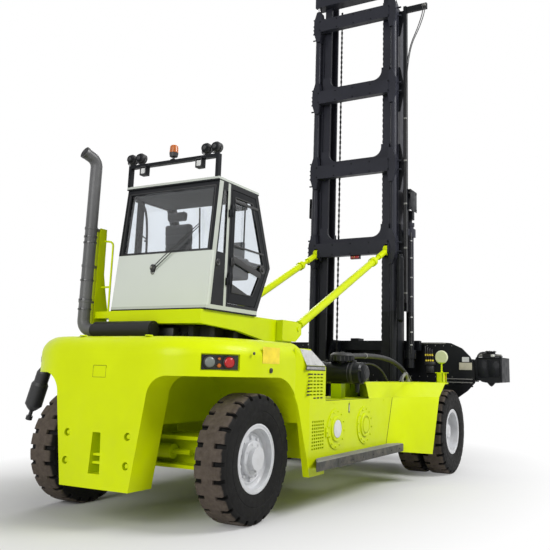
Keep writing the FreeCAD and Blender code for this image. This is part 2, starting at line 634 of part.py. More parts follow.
def rolled_deck():
    whole = rear_plan(D.frame_top - 180, D.deck_z, D.body_front)
    rim_edges = [edge for edge in whole.Edges
                 if edge.BoundBox.ZMin > D.deck_z - 1 and edge.CenterOfMass.x < D.body_front - 1]
    return whole.makeFillet(D.cw_roll, rim_edges)


upper = made("cw_upper", rolled_deck())
SPREAD = 260
leg_line = [(D.cw_foot_half, D.cw_low, 0), (D.cw_hip_half, D.cw_hip_z, 0),
            (D.cw_hip_half + 30, D.arch_top + 1, 0.85 * SPREAD), (D.flank_y, D.arch_top + 1, 0), (D.flank_y, D.arch_top + 60, 0)]
leg_corners = leg_line + [(-u, v, r) for u, v, r in reversed(leg_line)]
leg = made("cw_leg", rounded_shape("YZ", leg_corners, (D.rear_face_x, D.cw_leg_front)).common(
    rear_plan(D.cw_low - 1, D.arch_top + 60, D.body_front)))
ARCH_LEAN = (D.arch_half - D.arch_corner_x) / (D.arch_top - D.cw_low)
arch_corners = [(D.rear_face_x - 400, D.cw_low - 10, 0), (D.rear_face_x - 400, D.arch_top, 0),
                (D.arch_corner_x, D.arch_top, D.arch_round), (D.arch_half, D.cw_low - 10, 0)]
arch_r = rounded("cw_arch_r", "XZ", arch_corners, (-D.flank_y - 10, -D.saddle_half - 10))
arch_l = rounded("cw_arch_l", "XZ", arch_corners, (D.saddle_half + 10, D.flank_y + 10))
pocket = box("cw_pocket", ("cw_leg_front", "body_front+1"), ("-saddle_half", "saddle_half"), ("frame_top-300", "frame_top"))
rail_pocket = box("cw_rail_pocket", ("arch_half-240", "body_front+1"), ("-rail_y", "rail_y"), ("frame_top-300", "frame_top"))
# tow slot that widens downwards, with two bars left across it
slot_shape = prism("cw_tow_slot", "YZ", [("-75", "500"), ("75", "500"), ("52", "895"), ("-52", "895")],
                   ("rear_face_x-1", "rear_face_x+170"))
slot_bars = fuse("cw_tow_bars", [box("cw_tow_bar_%d" % k, ("rear_face_x+45", "rear_face_x+120"), ("-76", "76"), (z, z + "+24"))
                                 for k, z in enumerate(("590", "668"))])
slot = cut("cw_tow_cut", slot_shape, [slot_bars])
bolt_holes = [cyl("cw_bolt_hole_%d_%d" % (i, k), "x", ("rear_face_x-1", y, z), "40", "70")
              for i, y in enumerate(("-400", "400")) for k, z in enumerate(("602", "875"))]
hatch = cut("cw_hatch_groove", box("cw_hatch_out", ("rear_face_x-1", "rear_face_x+5"), ("-70", "110"), ("1430", "1552")),
            [box("cw_hatch_in", ("rear_face_x-2", "rear_face_x+6"), ("-64", "104"), ("1436", "1546"))])
# recess for the tail lamps across each rounded corner
lamp_tail = rounded_shape("XY", [(-744, -1060, 0), (-420, -1290, 0), (-500, -1420, 0), (-1000, -1300, 0)],
                          (D.arch_top + 57, D.arch_top + 220))
lamp_recess = made("cw_lamp_recess_r", lamp_tail)
lamp_recess_l = mirror("cw_lamp_recess_l", lamp_recess)
body = cut("counterweight_cut", upper, [arch_r, arch_l, pocket, rail_pocket, hatch, lamp_recess, lamp_recess_l])
tail = cut("cw_tail_cut", leg, [slot] + bolt_holes)
slab = rounded_shape("XY", [(560, -D.flank_y, 0), (800, -D.box_y, 0), (D.post_front, -D.box_y, 0),
                            (D.post_front, -D.box_y + D.flank_wall, 0), (560, -D.box_y + D.flank_wall, 0)],
                     (D.post_low, D.deck_z - D.cw_roll + 130))
slab_arch = rounded_shape("XZ", [(-500, D.post_low - 10, 0), (-500, D.arch_top, 0),
                                 (D.arch_corner_x, D.arch_top, D.arch_round), (D.arch_foot_x, D.post_low - 10, 0)],
                          (-D.box_y - 10, -D.box_y + D.flank_wall + 10))
slab_top = rounded_shape("XZ", [(D.post_front - 270, D.deck_z - 69, 0), (D.post_front, D.deck_z - 260, 0),
                                (D.post_front + 100, D.deck_z - 260, 0), (D.post_front + 100, D.deck_z + 50, 0),
                                (D.post_front - 270, D.deck_z + 50, 0)],
                         (-D.box_y - 10, -D.box_y + D.flank_wall + 10))
slab_lean = rounded_shape("YZ", [(-D.box_y, D.deck_z - 250, 0), (-D.box_y + 70, D.deck_z - 50, 0),
                                 (-D.box_y - 20, D.deck_z - 50, 0), (-D.box_y - 20, D.deck_z - 250, 0)],
                          (500, D.post_front + 100))
post = made("cw_post", slab.cut(slab_arch).cut(slab_top).cut(slab_lean))
# the slotted grille above the side box
slots = [box("cw_slot_%d_%d" % (i, k), (x, x + "+62"), ("-box_y-1", "-box_y+25"), (z, z + "+16"))
         for i, x in enumerate(("800", "885", "970", "1055")) for k, z in enumerate(("1270", "1308", "1346", "1384", "1422", "1460"))]
# rows of square holes at the foot of the post
holes = [Part.makeBox(34, 26, 22, Vector(868 + 52 * i, -D.box_y - 1, 668 + 37 * k)) for i in range(6) for k in range(9)]
post_cut = cut("cw_post_cut", post, slots + [made("cw_grille_holes", Part.makeCompound(holes))])
node("counterweight", fuse("counterweight_raw", [body, tail, both("cw_posts", post_cut)]))

# slanted canister hung outside the left wheel arch, clear of the steered tyre
can_top = Vector(-300, D.flank_y + 150, D.arch_top + 35)
can_low = Vector(-300, D.flank_y + 330, D.arch_top - 500)
can_axis = can_low - can_top


def can_part(start, end, radius_a, radius_b):
    """Piece of the canister between two shares of its axis."""
    length = (end - start) * can_axis.Length
    if radius_a == radius_b:
        return Part.makeCylinder(radius_a, length, can_top + can_axis * start, can_axis)
    return Part.makeCone(radius_a, radius_b, length, can_top + can_axis * start, can_axis)


can_solid = can_part(0, 0.1, 55, 80)
for start, end, radius_a, radius_b in ((0.1, 0.3, 80, 80), (0.3, 0.36, 80, 98), (0.36, 0.8, 98, 98), (0.8, 0.88, 98, 60),
                                       (0.88, 0.94, 60, 22), (0.94, 1.04, 22, 22), (1.04, 1.12, 38, 38)):
    can_solid = can_solid.fuse(can_part(start, end, radius_a, radius_b))
hanger = Part.makeBox(90, 250, 70, Vector(-345, D.flank_y - 80, D.arch_top + 10)).cut(
    rear_plan(D.arch_top, D.arch_top + 90, D.body_front))
node("rear_canister", made("rear_canister_raw", can_solid.fuse(hanger)))

# ---------------------------------------------------------------- side boxes, steps and fenders
BOX_START = "post_front"
side_box = prism("side_box", "XZ", [(BOX_START, "box_low"), ("box_front-240", "box_low"), ("box_front", "box_top"),
                                    (BOX_START, "box_top")], ("-box_y", "-box_inner_y"))
box_tail = prism("side_box_tail", "XZ", [("box_rear", "box_low"), (BOX_START + "+1", "box_low"),
                                         (BOX_START + "+1", "box_top"), ("box_rear-60", "box_top")],
                 ("-box_y+flank_wall+10", "-box_inner_y"))
tie = box("side_box_tie", ("box_rear+100", "box_front-400"), ("-box_inner_y-1", "-rail_y"), ("box_low+100", "frame_top-100"))
step = box("side_step", ("post_front+15", "box_front-20"), ("-box_y-step_out", "-box_y"), ("step_low", "step_low+step_thick"))
step_arm = box("side_step_arm", ("post_front+15", "box_front-260"), ("-box_y", "-box_y+60"), ("step_low", "box_low"))
covers = [cyl("side_cover_%d" % k, "y", (x, "-box_y-12", "870"), "235", "13") for k, x in enumerate(("1480", "2330"))]
cover_bosses = [cyl("side_cover_in_%d" % k, "y", (x, "-box_y-24", "870"), "150", "13") for k, x in enumerate(("1480", "2330"))]
gauge = box("side_gauge", ("1835", "1875"), ("-box_y-1", "-box_y+20"), ("1040", "1160"))
pair("side_box", cut("side_box_cut", fuse("side_box_raw", [side_box, box_tail, tie, step, step_arm] + covers + cover_bosses),
                     [gauge]))

BULK_X = "(wheelbase-wheel_dia/2-160)"


def sheet_solid(corners, drop):
    """Closed solid under a sloped triangle: the triangle and its copy lowered by drop."""
    top = [Vector(*p) for p in corners]
    low = [Vector(p[0], p[1], p[2] - drop) for p in corners]
    faces = [Part.Face(Part.makePolygon(top + top[:1])), Part.Face(Part.makePolygon(low[::-1] + low[-1:]))]
    for k in range(3):
        n = (k + 1) % 3
        faces.append(Part.Face(Part.makePolygon([top[k], low[k], low[n], top[n], top[k]])))
    return Part.Solid(Part.Shell(faces))


# the sloped band that joins the fender face to its flat top
BAND_LOW = D.box_top + 2 * D.plate + 1
seam = (D.box_front, -D.box_y, BAND_LOW)
flare = (D.fender_front + 60, -D.fender_y, BAND_LOW)
tip = (D.fender_tip - 280, -D.fender_y + 130, D.fender_top)
shoulder = (D.box_front - 700, -D.box_y + 120, D.fender_top)
band_a = doc.addObject("Part::Feature", "fender_band_a")
band_a.Shape = sheet_solid([seam, flare, shoulder], 2 * D.plate)
band_b = doc.addObject("Part::Feature", "fender_band_b")
band_b.Shape = sheet_solid([flare, tip, shoulder], 2 * D.plate)
face = prism("fender_face", "XY", [("box_front-240", "-box_y-2*plate-1"), ("fender_front+60", "-fender_y"),
                                   ("fender_front+60", "-fender_y+2*plate"), ("box_front-240", "-box_y-1")],
             ("fender_low", "box_top+2*plate"))
trim = prism("fender_trim", "XZ", [("box_front-300", "fender_low-10"), ("box_front+60", "fender_low-10"),
                                   ("fender_front+120", "fender_low-10"), ("fender_front+120", "fender_low"),
                                   ("box_front-10", "step_low+20"), ("box_front-10", "step_low+step_thick+5"),
                                   ("box_front-235", "step_low+step_thick+5"), ("box_front", "box_top"),
                                   ("box_front", "box_top+60"), ("box_front-300", "box_top+60")],
             ("-fender_y-10", "-box_y+60"))
top = prism("fender_top_plate", "XY", [("box_front-700", "-box_y+120"), ("fender_tip-280", "-fender_y+130"),
                                       ("fender_tip", "-fender_y+170"), ("fender_tip", "-1000"),
                                       ("box_front-700", "-1000")], ("fender_top-2*plate", "fender_top"))
bulk = box("fender_bulkhead", (BULK_X, BULK_X + "+2*plate"), ("-fender_y+60", "-rail_y"), ("box_low", "fender_top-1"))
lamp_box = box("fender_bracket", ("fender_tip-230", "fender_tip-20"), ("-fender_y+190", "-fender_y+300"),
               ("fender_top-1", "fender_top+160"))
lamp_gap = box("fender_lamp_gap", ("fender_tip-95", "fender_tip-10"), ("-fender_y+180", "-fender_y+310"),
               ("fender_top+40", "fender_top+125"))
lamp_hole = cyl("fender_bracket_hole", "y", ("fender_tip-170", "-fender_y+180", "fender_top+50"), "24", "130")
lamp_body = box("fender_lamp", ("fender_tip-85", "fender_tip-30"), ("-fender_y+200", "-fender_y+290"),
                ("fender_top+39", "fender_top+110"))
pole = cyl("mirror_pole", "z", ("fender_tip-120", "-fender_y+245", "fender_top+150"), "14", "140")
inner = box("fender_inner", ("box_front-702", BULK_X + "+5"), ("-1000", "-1000+2*plate"), ("box_top", "fender_top-1"))
lamp_bracket = fuse("fender_bracket_whole", [cut("fender_bracket_cut", lamp_box, [lamp_gap, lamp_hole]), lamp_body])
pair("front_fender", fuse("front_fender_raw", [cut("fender_face_cut", face, [trim]), band_a, band_b, top, bulk,
                                               lamp_bracket, pole, inner]))
mirror_head = turned("mirror_head_raw", [("-25", "0"), ("-25", "95"), ("0", "110"), ("25", "95"), ("25", "0")],
                     ("fender_tip-120", "-fender_y+245", "fender_top+410"), "x")
mirror_stub = cyl("mirror_stub", "z", ("fender_tip-120", "-fender_y+245", "fender_top+290"), "14", "50")
pair("mirror", fuse("mirror_whole", [mirror_head, mirror_stub]))

# ---------------------------------------------------------------- engine, cooler hood and intake
node("engine_block", box("engine_block_raw", ("box_rear-200", "engine_front"), ("-rail_y+rail_wall", "rail_y-rail_wall"),
                         ("frame_low+20", "deck_z-110")))
can = turned("air_can", [("0", "0"), ("0", "100"), ("30", "140"), ("560", "140"), ("570", "150"), ("610", "150"),
                         ("650", "120"), ("650", "0")], ("2200", "-box_inner_y-150-650", "fender_top+120"), "y")
cap = turned("air_cap", [("0", "0"), ("0", "70"), ("40", "70"), ("40", "160"), ("110", "160"), ("150", "120"),
                         ("150", "0")], ("2200", "-1180", "fender_top+230"), "z")
valve = cone("air_valve", "z", ("2200", "-1400", "fender_top-130"), "22", "40", "130")
air_lid = turned("air_lid", [("0", "0"), ("0", "60"), ("20", "105"), ("45", "118"), ("45", "0")], ("2200", "-box_inner_y-150-695", "fender_top+120"), "y")
foot = box("air_foot", ("2140", "2260"), ("-1200", "-1050"), ("box_top", "fender_top"))
node("air_cleaner", fuse("air_cleaner_raw", [can, cap, valve, foot, air_lid]))

# ---------------------------------------------------------------- cab platform, stand and exhaust
platform = box("cab_platform_raw", ("platform_rear", "cab_nose_x+60"),
               ("-tilt_cyl_y+eye_half+side_gap+60", "tilt_cyl_y-eye_half-side_gap-60"),
               ("platform_top-platform_thick", "platform_top"))
wing = box("cab_platform_wing", ("stand_x+20", "cab_nose_x+60"),
           ("tilt_cyl_y-eye_half-side_gap", "exhaust_y-64"), ("platform_top-80", "platform_top"))
channel = box("stand_web", ("stand_x+90", "stand_x+105"), ("exhaust_y-64", "exhaust_y+95"), ("deck_z", "stand_top"))
flange = prism("stand_flange", "XZ", [("stand_x", "platform_top-167"), ("stand_x+217", "platform_top-167"),
                                      ("stand_x+210", "platform_top+30"), ("stand_x+155", "platform_top+250"),
                                      ("stand_x+112", "platform_top+450"), ("stand_x+106", "stand_top-60"),
                                      ("stand_x+80", "stand_top"), ("stand_x", "stand_top")],
               ("exhaust_y-65", "exhaust_y-50"))
node("cab_platform", platform)



def pipe(points, bend, radius):
    """Round pipe along straight runs joined by arcs of the given bend radius."""
    edges = []
    start = points[0]
    for k in range(1, len(points) - 1):
        before = (points[k - 1] - points[k]).normalize()
        after = (points[k + 1] - points[k]).normalize()
        half = math.acos(max(-1.0, min(1.0, before.dot(after)))) / 2
        reach = bend / math.tan(half)
        a = points[k] + before * reach
        b = points[k] + after * reach
        middle = (before + after).normalize()
        m = points[k] + middle * (bend / math.sin(half) - bend)
        edges.append(Part.LineSegment(start, a).toShape())
        edges.append(Part.Arc(a, m, b).toShape())
        start = b
    edges.append(Part.LineSegment(start, points[-1]).toShape())
    wire = Part.Wire(edges)
    direction = (points[1] - points[0]).normalize()
    ring = Part.Wire([Part.makeCircle(radius, points[0], direction)])
    return wire.makePipeShell([ring], True, False)


# handrail between the stand and the platform
RAIL_R = 12
rail_x = D.stand_x + 90
rail_y = D.exhaust_y - 195
handrail = made("stand_handrail", pipe([Vector(rail_x, D.exhaust_y - 60, D.stand_top - 143),
                                        Vector(rail_x, rail_y, D.stand_top - 163),
                                        Vector(rail_x, rail_y, D.platform_top - 5)], 60, RAIL_R))
handrail_cross = cyl("stand_handrail_cross", "y", ("stand_x+90", "exhaust_y-195", "platform_top+295"), str(RAIL_R), "140")
node("exhaust_stand", fuse("exhaust_stand_raw", [channel, flange, wing, handrail, handrail_cross]))

ex_x = D.exhaust_x
ex_y = D.exhaust_y
low_z = D.deck_z + D.muffler_r + 3
stack = doc.addObject("Part::Feature", "exhaust_stack")
stack.Shape = pipe([Vector(ex_x, -100, low_z), Vector(ex_x, ex_y, low_z), Vector(ex_x, ex_y, D.exhaust_top + 60),
                    Vector(ex_x - 170, ex_y + 40, D.exhaust_top + 130)], 1.7 * D.exhaust_r, D.exhaust_r)
clamps = [cyl("exhaust_clamp_%d" % k, "z", ("exhaust_x", "exhaust_y", z), "exhaust_r+6", "26")
          for k, z in enumerate(("stand_top-30", "stand_top-480", "stand_top-900"))]
ties = [box("exhaust_tie_%d" % k, ("exhaust_x+exhaust_r-8", "stand_x+90"), ("exhaust_y-40", "exhaust_y+40"), (z, z + "+20"))
        for k, z in enumerate(("stand_top-28", "stand_top-478", "stand_top-898"))]
muffler = cyl("exhaust_muffler", "y", ("exhaust_x", "-90", "deck_z+muffler_r+3"), "muffler_r", "exhaust_y-130")
muffler_feet = [box("exhaust_foot_%d" % k, ("exhaust_x-50", "exhaust_x+50"), (y, y + "+40"), ("deck_z", "deck_z+muffler_r"))
                for k, y in enumerate(("0", "exhaust_y-260"))]
node("exhaust", fuse("exhaust_raw", [stack, muffler] + ties + muffler_feet + clamps))

# ---------------------------------------------------------------- cab


def rear_x(z):
    """X of the cab's leaning rear face at the height z."""
    return "(cab_rear+(cab_rear_top-cab_rear)*((%s)-cab_floor)/(cab_roof_z-cab_floor))" % z


def wall_strip(name, low, high, inset, thick, half, lean=rear_x):
    return prism(name, "XZ", [(lean(low) + "+" + inset, low), (lean(low) + "+%s+%s" % (inset, thick), low),
                              (lean(high) + "+%s+%s" % (inset, thick), high), (lean(high) + "+" + inset, high)],
                 ("-(%s)" % half, half))


floor_plate = box("cab_floor_raw", ("cab_rear", "cab_toe_x"), ("-cab_half", "cab_half"), ("platform_top", "cab_floor+cab_wall"))
FLOOR_TOP = "cab_floor+cab_wall"
node("cab_rear_panel", wall_strip("cab_rear_panel_raw", FLOOR_TOP, "cab_sill", "0", "cab_wall", "cab_half"))
rear_frame = wall_strip("cab_rear_frame_raw", "cab_sill", "cab_roof_z-cab_wall", "0", "cab_wall", "cab_half")
rear_hole = wall_strip("cab_rear_hole", "cab_sill+25", "cab_roof_z-cab_wall-70", "-20", "cab_wall+40", "cab_half-70")
rear_ring = cut("cab_rear_frame_cut", rear_frame, [rear_hole])
node("cab_rear_glass", wall_strip("cab_rear_glass_raw", "cab_sill+25", "cab_roof_z-cab_wall-70", "14", "glass_thick",
                                  "cab_half-70"))
node("cab_roof", prism("cab_roof_raw", "XY", [("cab_rear_top-30", "-cab_half"), ("cab_brow_x+20", "-cab_half"),
                                              ("cab_brow_x+20", "cab_half"), ("cab_rear_top-30", "cab_half")],
                       ("cab_roof_z-cab_wall", "cab_roof_z")))
side_span = ("-cab_half", "-cab_half+cab_wall")


def side_shape(tag):
    """Side wall without its ends: between floor plate and roof, in front of the rear wall."""
    pts = [(rear_x(FLOOR_TOP) + "+cab_wall", FLOOR_TOP), (rear_x("cab_roof_z-cab_wall") + "+cab_wall", "cab_roof_z-cab_wall"),
           ("cab_brow_x", "cab_roof_z-cab_wall"), ("cab_nose_x", "cab_nose_z"), ("cab_toe_x", FLOOR_TOP)]
    return prism("cab_side_" + tag, "XZ", pts, side_span)


side_window = prism("cab_side_window", "XZ", [("door_post_x+70", "cab_sill-150"), ("door_post_x+70", "cab_roof_z-130"),
                                              ("cab_brow_x-70", "cab_roof_z-130"), ("cab_nose_x-90", "cab_nose_z+10"),
                                              ("cab_nose_x-120", "cab_sill-150")], ("-cab_half-5", "-cab_half+cab_wall+5"))
rear_side_window = prism("cab_side_window_rear", "XZ",
                         [(rear_x("cab_sill") + "+cab_wall+60", "cab_sill"),
                          (rear_x("cab_roof_z-130") + "+cab_wall+60", "cab_roof_z-130"),
                          ("door_post_x-20", "cab_roof_z-130"), ("door_post_x-20", "cab_sill")],
                         ("-cab_half-5", "-cab_half+cab_wall+5"))
door_hole = prism("cab_door_hole", "XZ", [("door_post_x+60", FLOOR_TOP + "+50"), ("door_post_x+60", "cab_roof_z-90"),
                                          ("cab_brow_x-50", "cab_roof_z-90"), ("cab_nose_x-60", "cab_nose_z"),
                                          ("cab_toe_x-50", FLOOR_TOP + "+50")], ("-cab_half-5", "-cab_half+cab_wall+5"))
right_side = cut("cab_side_right_raw", side_shape("right_whole"), [door_hole, rear_side_window])
left_raw = cut("cab_side_left_drawn", side_shape("left_whole"), [side_window, rear_side_window])
left_side = mirror("cab_side_left_raw", left_raw)
GLASS = ("-cab_half+12", "-cab_half+12+glass_thick")
rear_pane = prism("cab_rear_pane", "XZ", [(rear_x("cab_sill") + "+cab_wall+60", "cab_sill"),
                                          (rear_x("cab_roof_z-130") + "+cab_wall+60", "cab_roof_z-130"),
                                          ("door_post_x-20", "cab_roof_z-130"), ("door_post_x-20", "cab_sill")], GLASS)
pair("cab_quarter_glass", rear_pane)
left_pane = prism("cab_left_pane", "XZ", [("door_post_x+70", "cab_sill-150"), ("door_post_x+70", "cab_roof_z-130"),
                                          ("cab_brow_x-70", "cab_roof_z-130"), ("cab_nose_x-90", "cab_nose_z+10"),
                                          ("cab_nose_x-120", "cab_sill-150")], GLASS)
node("cab_left_glass", mirror("cab_left_pane_m", left_pane))


def front_strip(name, low, high, inset, thick, half):
    """Leaning strip between two points (x, z) of the front profile."""
    return prism(name, "XZ", [(low[0] + "-" + inset, low[1]), (high[0] + "-" + inset, high[1]),
                              (high[0] + "-%s-%s" % (inset, thick), high[1]), (low[0] + "-%s-%s" % (inset, thick), low[1])],
                 ("-(%s)" % half, half))


IN_HALF = "cab_half-cab_wall"
nose = ("cab_nose_x", "cab_nose_z")
upper_front = front_strip("cab_front_upper", nose, ("cab_brow_x", "cab_roof_z-cab_wall"), "0", "cab_wall", IN_HALF)
lower_front = front_strip("cab_front_lower", ("cab_toe_x", FLOOR_TOP), nose, "0", "cab_wall", IN_HALF)
upper_hole = prism("cab_front_hole_u", "XZ", [("cab_nose_x+60", "cab_nose_z+50"), ("cab_nose_x-250", "cab_nose_z+50"),
                                              ("cab_nose_x-600", "cab_roof_z-cab_wall-60"),
                                              ("cab_nose_x+60", "cab_roof_z-cab_wall-60")], ("-(%s-50)" % IN_HALF, "%s-50" % IN_HALF))
lower_hole = prism("cab_front_hole_l", "XZ", [("cab_nose_x+60", "cab_nose_z-50"), ("cab_nose_x-400", "cab_nose_z-50"),
                                              ("cab_toe_x-200", FLOOR_TOP + "+80"), ("cab_nose_x+60", FLOOR_TOP + "+80")],
                   ("-(%s-50)" % IN_HALF, "%s-50" % IN_HALF))
front_frame = cut("cab_front_frame_raw", fuse("cab_front_whole", [upper_front, lower_front]), [upper_hole, lower_hole])


brow = ("cab_brow_x", "cab_roof_z-cab_wall")
toe = ("cab_toe_x", "(" + FLOOR_TOP + ")")
def at_height(a, b, z):
    """Point of the line from a to b at the height z."""
    return ("(%s+(%s-(%s))*((%s)-(%s))/(%s-(%s)))" % (a[0], b[0], a[0], z, a[1], b[1], a[1]), z)


node("cab_windscreen", front_strip("cab_windscreen_raw", at_height(nose, brow, "cab_nose_z+50"),
                                   at_height(nose, brow, "cab_roof_z-cab_wall-60"), "14", "glass_thick", IN_HALF + "-50"))
node("cab_foot_glass", front_strip("cab_foot_glass_raw", at_height(toe, nose, FLOOR_TOP + "+80"),
                                   at_height(toe, nose, "cab_nose_z-50"), "14", "glass_thick", IN_HALF + "-50"))
# door with its pane, hung on the post behind it
door_pts = [("door_post_x+60+door_gap", FLOOR_TOP + "+50+door_gap"), ("door_post_x+60+door_gap", "cab_roof_z-90-door_gap"),
            ("cab_brow_x-50-door_gap*1.3", "cab_roof_z-90-door_gap"), ("cab_nose_x-60-door_gap*1.3", "cab_nose_z"),
            ("cab_toe_x-50-door_gap*1.3", FLOOR_TOP + "+50+door_gap")]
door_slab = prism("cab_door_slab", "XZ", door_pts, side_span)
door_window = prism("cab_door_window", "XZ", [("door_post_x+130", FLOOR_TOP + "+180"), ("door_post_x+130", "cab_roof_z-170"),
                                              ("cab_brow_x-110", "cab_roof_z-170"), ("cab_nose_x-150", "cab_nose_z"),
                                              ("cab_toe_x-110", FLOOR_TOP + "+180")], ("-cab_half-5", "-cab_half+cab_wall+5"))
door_bar = box("cab_door_bar", ("door_post_x+120", "cab_nose_x-160"), ("-cab_half+22", "-cab_half+cab_wall"),
               ("cab_nose_z-20", "cab_nose_z+20"))
hinge_parts = []
for k, z in enumerate(("cab_sill-350", "cab_roof_z-420")):
    hinge_parts.append(cyl("cab_hinge_%d" % k, "z", ("door_post_x+45", "-cab_half-22", z), "13", "70"))
door_leaf = fuse("cab_door_leaf", [cut("cab_door_cut", door_slab, [door_window]), door_bar])
knuckles = []
for k, z in enumerate(("cab_sill-350", "cab_roof_z-420")):
    knuckles.append(box("cab_door_ear_%d" % k, ("door_post_x+45", "door_post_x+110"), ("-cab_half-28", "-cab_half-6"),
                        (z + "+72", z + "+130")))
    knuckles.append(box("cab_door_root_%d" % k, ("door_post_x+60+door_gap+2", "door_post_x+110"),
                        ("-cab_half-7", "-cab_half+1"), (z + "+72", z + "+130")))
    knuckles.append(cyl("cab_door_barrel_%d" % k, "z", ("door_post_x+45", "-cab_half-22", z + "+72"), "16", "58"))
door_pin_holes = [cyl("cab_door_pinhole_%d" % k, "z", ("door_post_x+45", "-cab_half-22", z + "+71"), "8+run_gap", "60")
                  for k, z in enumerate(("cab_sill-350", "cab_roof_z-420"))]
node("cab_door", cut("cab_door_raw", fuse("cab_door_whole", [door_leaf] + knuckles), door_pin_holes))
node("cab_door_glass", prism("cab_door_glass_raw", "XZ", [("door_post_x+130", FLOOR_TOP + "+180"),
                                                          ("door_post_x+130", "cab_roof_z-170"),
                                                          ("cab_brow_x-110", "cab_roof_z-170"), ("cab_nose_x-150", "cab_nose_z"),
                                                          ("cab_toe_x-110", FLOOR_TOP + "+180")], GLASS))
pins = []
for k, z in enumerate(("cab_sill-350", "cab_roof_z-420")):
    pins.append(cyl("cab_hinge_pin_%d" % k, "z", ("door_post_x+45", "-cab_half-22", z + "+60"), "8", "66"))
    pins.append(box("cab_hinge_foot_%d" % k, ("door_post_x+10", "door_post_x+45"), ("-cab_half-22", "-cab_half"), (z, z + "+70")))
node("cab_frame", fuse("cab_frame_raw", [rear_ring, right_side, left_side, front_frame] + hinge_parts + pins))
# seat and controls
seat_base = box("seat_base_raw", ("210", "570"), ("-210", "210"), (FLOOR_TOP + "-1", "cab_floor+380"))
node("seat_cushion", box("seat_cushion_raw", ("170", "670"), ("-250", "250"), ("cab_floor+380", "cab_floor+500")))
node("seat_back", prism("seat_back_raw", "XZ", [("110", "cab_floor+500"), ("230", "cab_floor+500"),
                                                ("180", "cab_floor+1150"), ("80", "cab_floor+1150")], ("-240", "240")))
column = cyl("column_raw", "z", ("735", "0", FLOOR_TOP + "-1"), "45", "640")
wheel = doc.addObject("Part::Torus", "hand_wheel")
prop(wheel, "Radius1", "190")
prop(wheel, "Radius2", "16")
wheel.Placement = Placement(Vector(), Rotation(Vector(0, 1, 0), -25))
base(wheel, "735", "0", "cab_floor+690")
spoke = box("hand_wheel_spoke", ("715", "785"), ("-190", "190"), ("cab_floor+655", "cab_floor+690"))
node("cab_floor", fuse("cab_floor_all", [floor_plate, seat_base, column, wheel, spoke]))
# lamp bar on the roof
bar_posts = [box("lamp_bar_post_" + t, ("cab_rear_top-60+20", "cab_rear_top+20"), y, ("cab_roof_z", "lamp_bar_z"))
             for t, y in (("r", ("-cab_half+10", "-cab_half+50")), ("l", ("cab_half-50", "cab_half-10")))]
bar_top = box("lamp_bar_top", ("cab_rear_top-60+20", "cab_rear_top+20"), ("-cab_half+10", "cab_half-10"),
              ("lamp_bar_z-40", "lamp_bar_z"))
lamps = []
for k, y in enumerate(("-cab_half+50", "-cab_half+190", "cab_half-190", "cab_half-50")):
    lamps.append(turned("work_lamp_%d" % k, [("-55", "0"), ("-55", "35"), ("-20", "60"), ("40", "62"), ("40", "0")],
                        ("cab_rear_top-30", y, "lamp_bar_z+75"), "x"))
    lamps.append(cyl("work_lamp_stem_%d" % k, "z", ("cab_rear_top-30", y, "lamp_bar_z-5"), "10", "40"))
for k, y in enumerate(("-cab_half+265", "cab_half-265")):
    lamps.append(box("low_lamp_%d" % k, ("cab_rear_top-70", "cab_rear_top"), (y + "-45", y + "+45"),
                     ("lamp_bar_z-150", "lamp_bar_z-39")))
node("lamp_bar", fuse("lamp_bar_raw", bar_posts + [bar_top] + lamps))
beacon = turned("beacon_raw", [("0", "0"), ("0", "45"), ("60", "45"), ("60", "55"), ("160", "50"), ("190", "25"), ("190", "0")],
                ("cab_rear_top-20", "0", "lamp_bar_z"), "z")
node("beacon", beacon)

# ---------------------------------------------------------------- outer mast
FRONT = "mast_x+rail_depth"


def rail_section(out):
    """Channel section opening towards the centre plane; out is its outer face (negative Y side)."""
    return [("mast_x", "-(%s)" % out), (FRONT, "-(%s)" % out), (FRONT, "-(%s-rail_flange)" % out),
            (FRONT + "-rail_rim", "-(%s-rail_flange)" % out), (FRONT + "-rail_rim", "-(%s-rail_web)" % out),
            ("mast_x+rail_rim", "-(%s-rail_web)" % out), ("mast_x+rail_rim", "-(%s-rail_flange)" % out),
            ("mast_x", "-(%s-rail_flange)" % out)]


INNER_OUT = "(rail_out_y-rail_flange-stage_gap)"
outer_rail = prism("outer_rail", "XY", rail_section("rail_out_y"), ("mast_foot", "outer_top"))
LIFT_X = "(mast_x-lift_cyl_r-22)"
beams = []
gussets = []
for k in range(4):
    low = "beam_first+%d*beam_pitch" % k
    beams.append(box("outer_beam_%d" % k, ("mast_x-beam_thick-70", "mast_x-70"), ("-beam_half", "beam_half"),
                     (low, low + "+beam_high")))
    gussets.append(prism("outer_gusset_%d" % k, "YZ",
                         [("-rail_out_y-20", low), ("-rail_out_y-20", low + "+beam_high"),
                          ("-rail_out_y+40", low + "+beam_high+190"), ("-rail_out_y+110", low + "+beam_high+190"),
                          ("-rail_out_y+rail_flange", low + "+beam_high"), ("-rail_out_y+rail_flange", low),
                          ("-rail_out_y+110", low + "-190"), ("-rail_out_y+40", low + "-190")],
                         ("mast_x-beam_thick-50", "mast_x")))
pegs = []
for k in range(4):
    for i, rise in enumerate((40, 205)):
        pegs.append(cyl("outer_peg_%d_%d" % (k, i), "y", ("mast_x-60", "-rail_out_y-85", "beam_first+%d*beam_pitch+%d" % (k, rise)),
                        "16", "70"))
foot_beam = box("outer_foot_beam", ("mast_x+rail_rim", "mast_x+rail_rim+120"), ("-rail_out_y+rail_web-1", "rail_out_y-rail_web+1"),
                ("mast_foot", "mast_foot+120"))
trunnion = cyl("outer_trunnion", "y", ("tilt_x", "-(rail_out_y+side_gap+60)", "tilt_z"), "tilt_pin_r", "80")
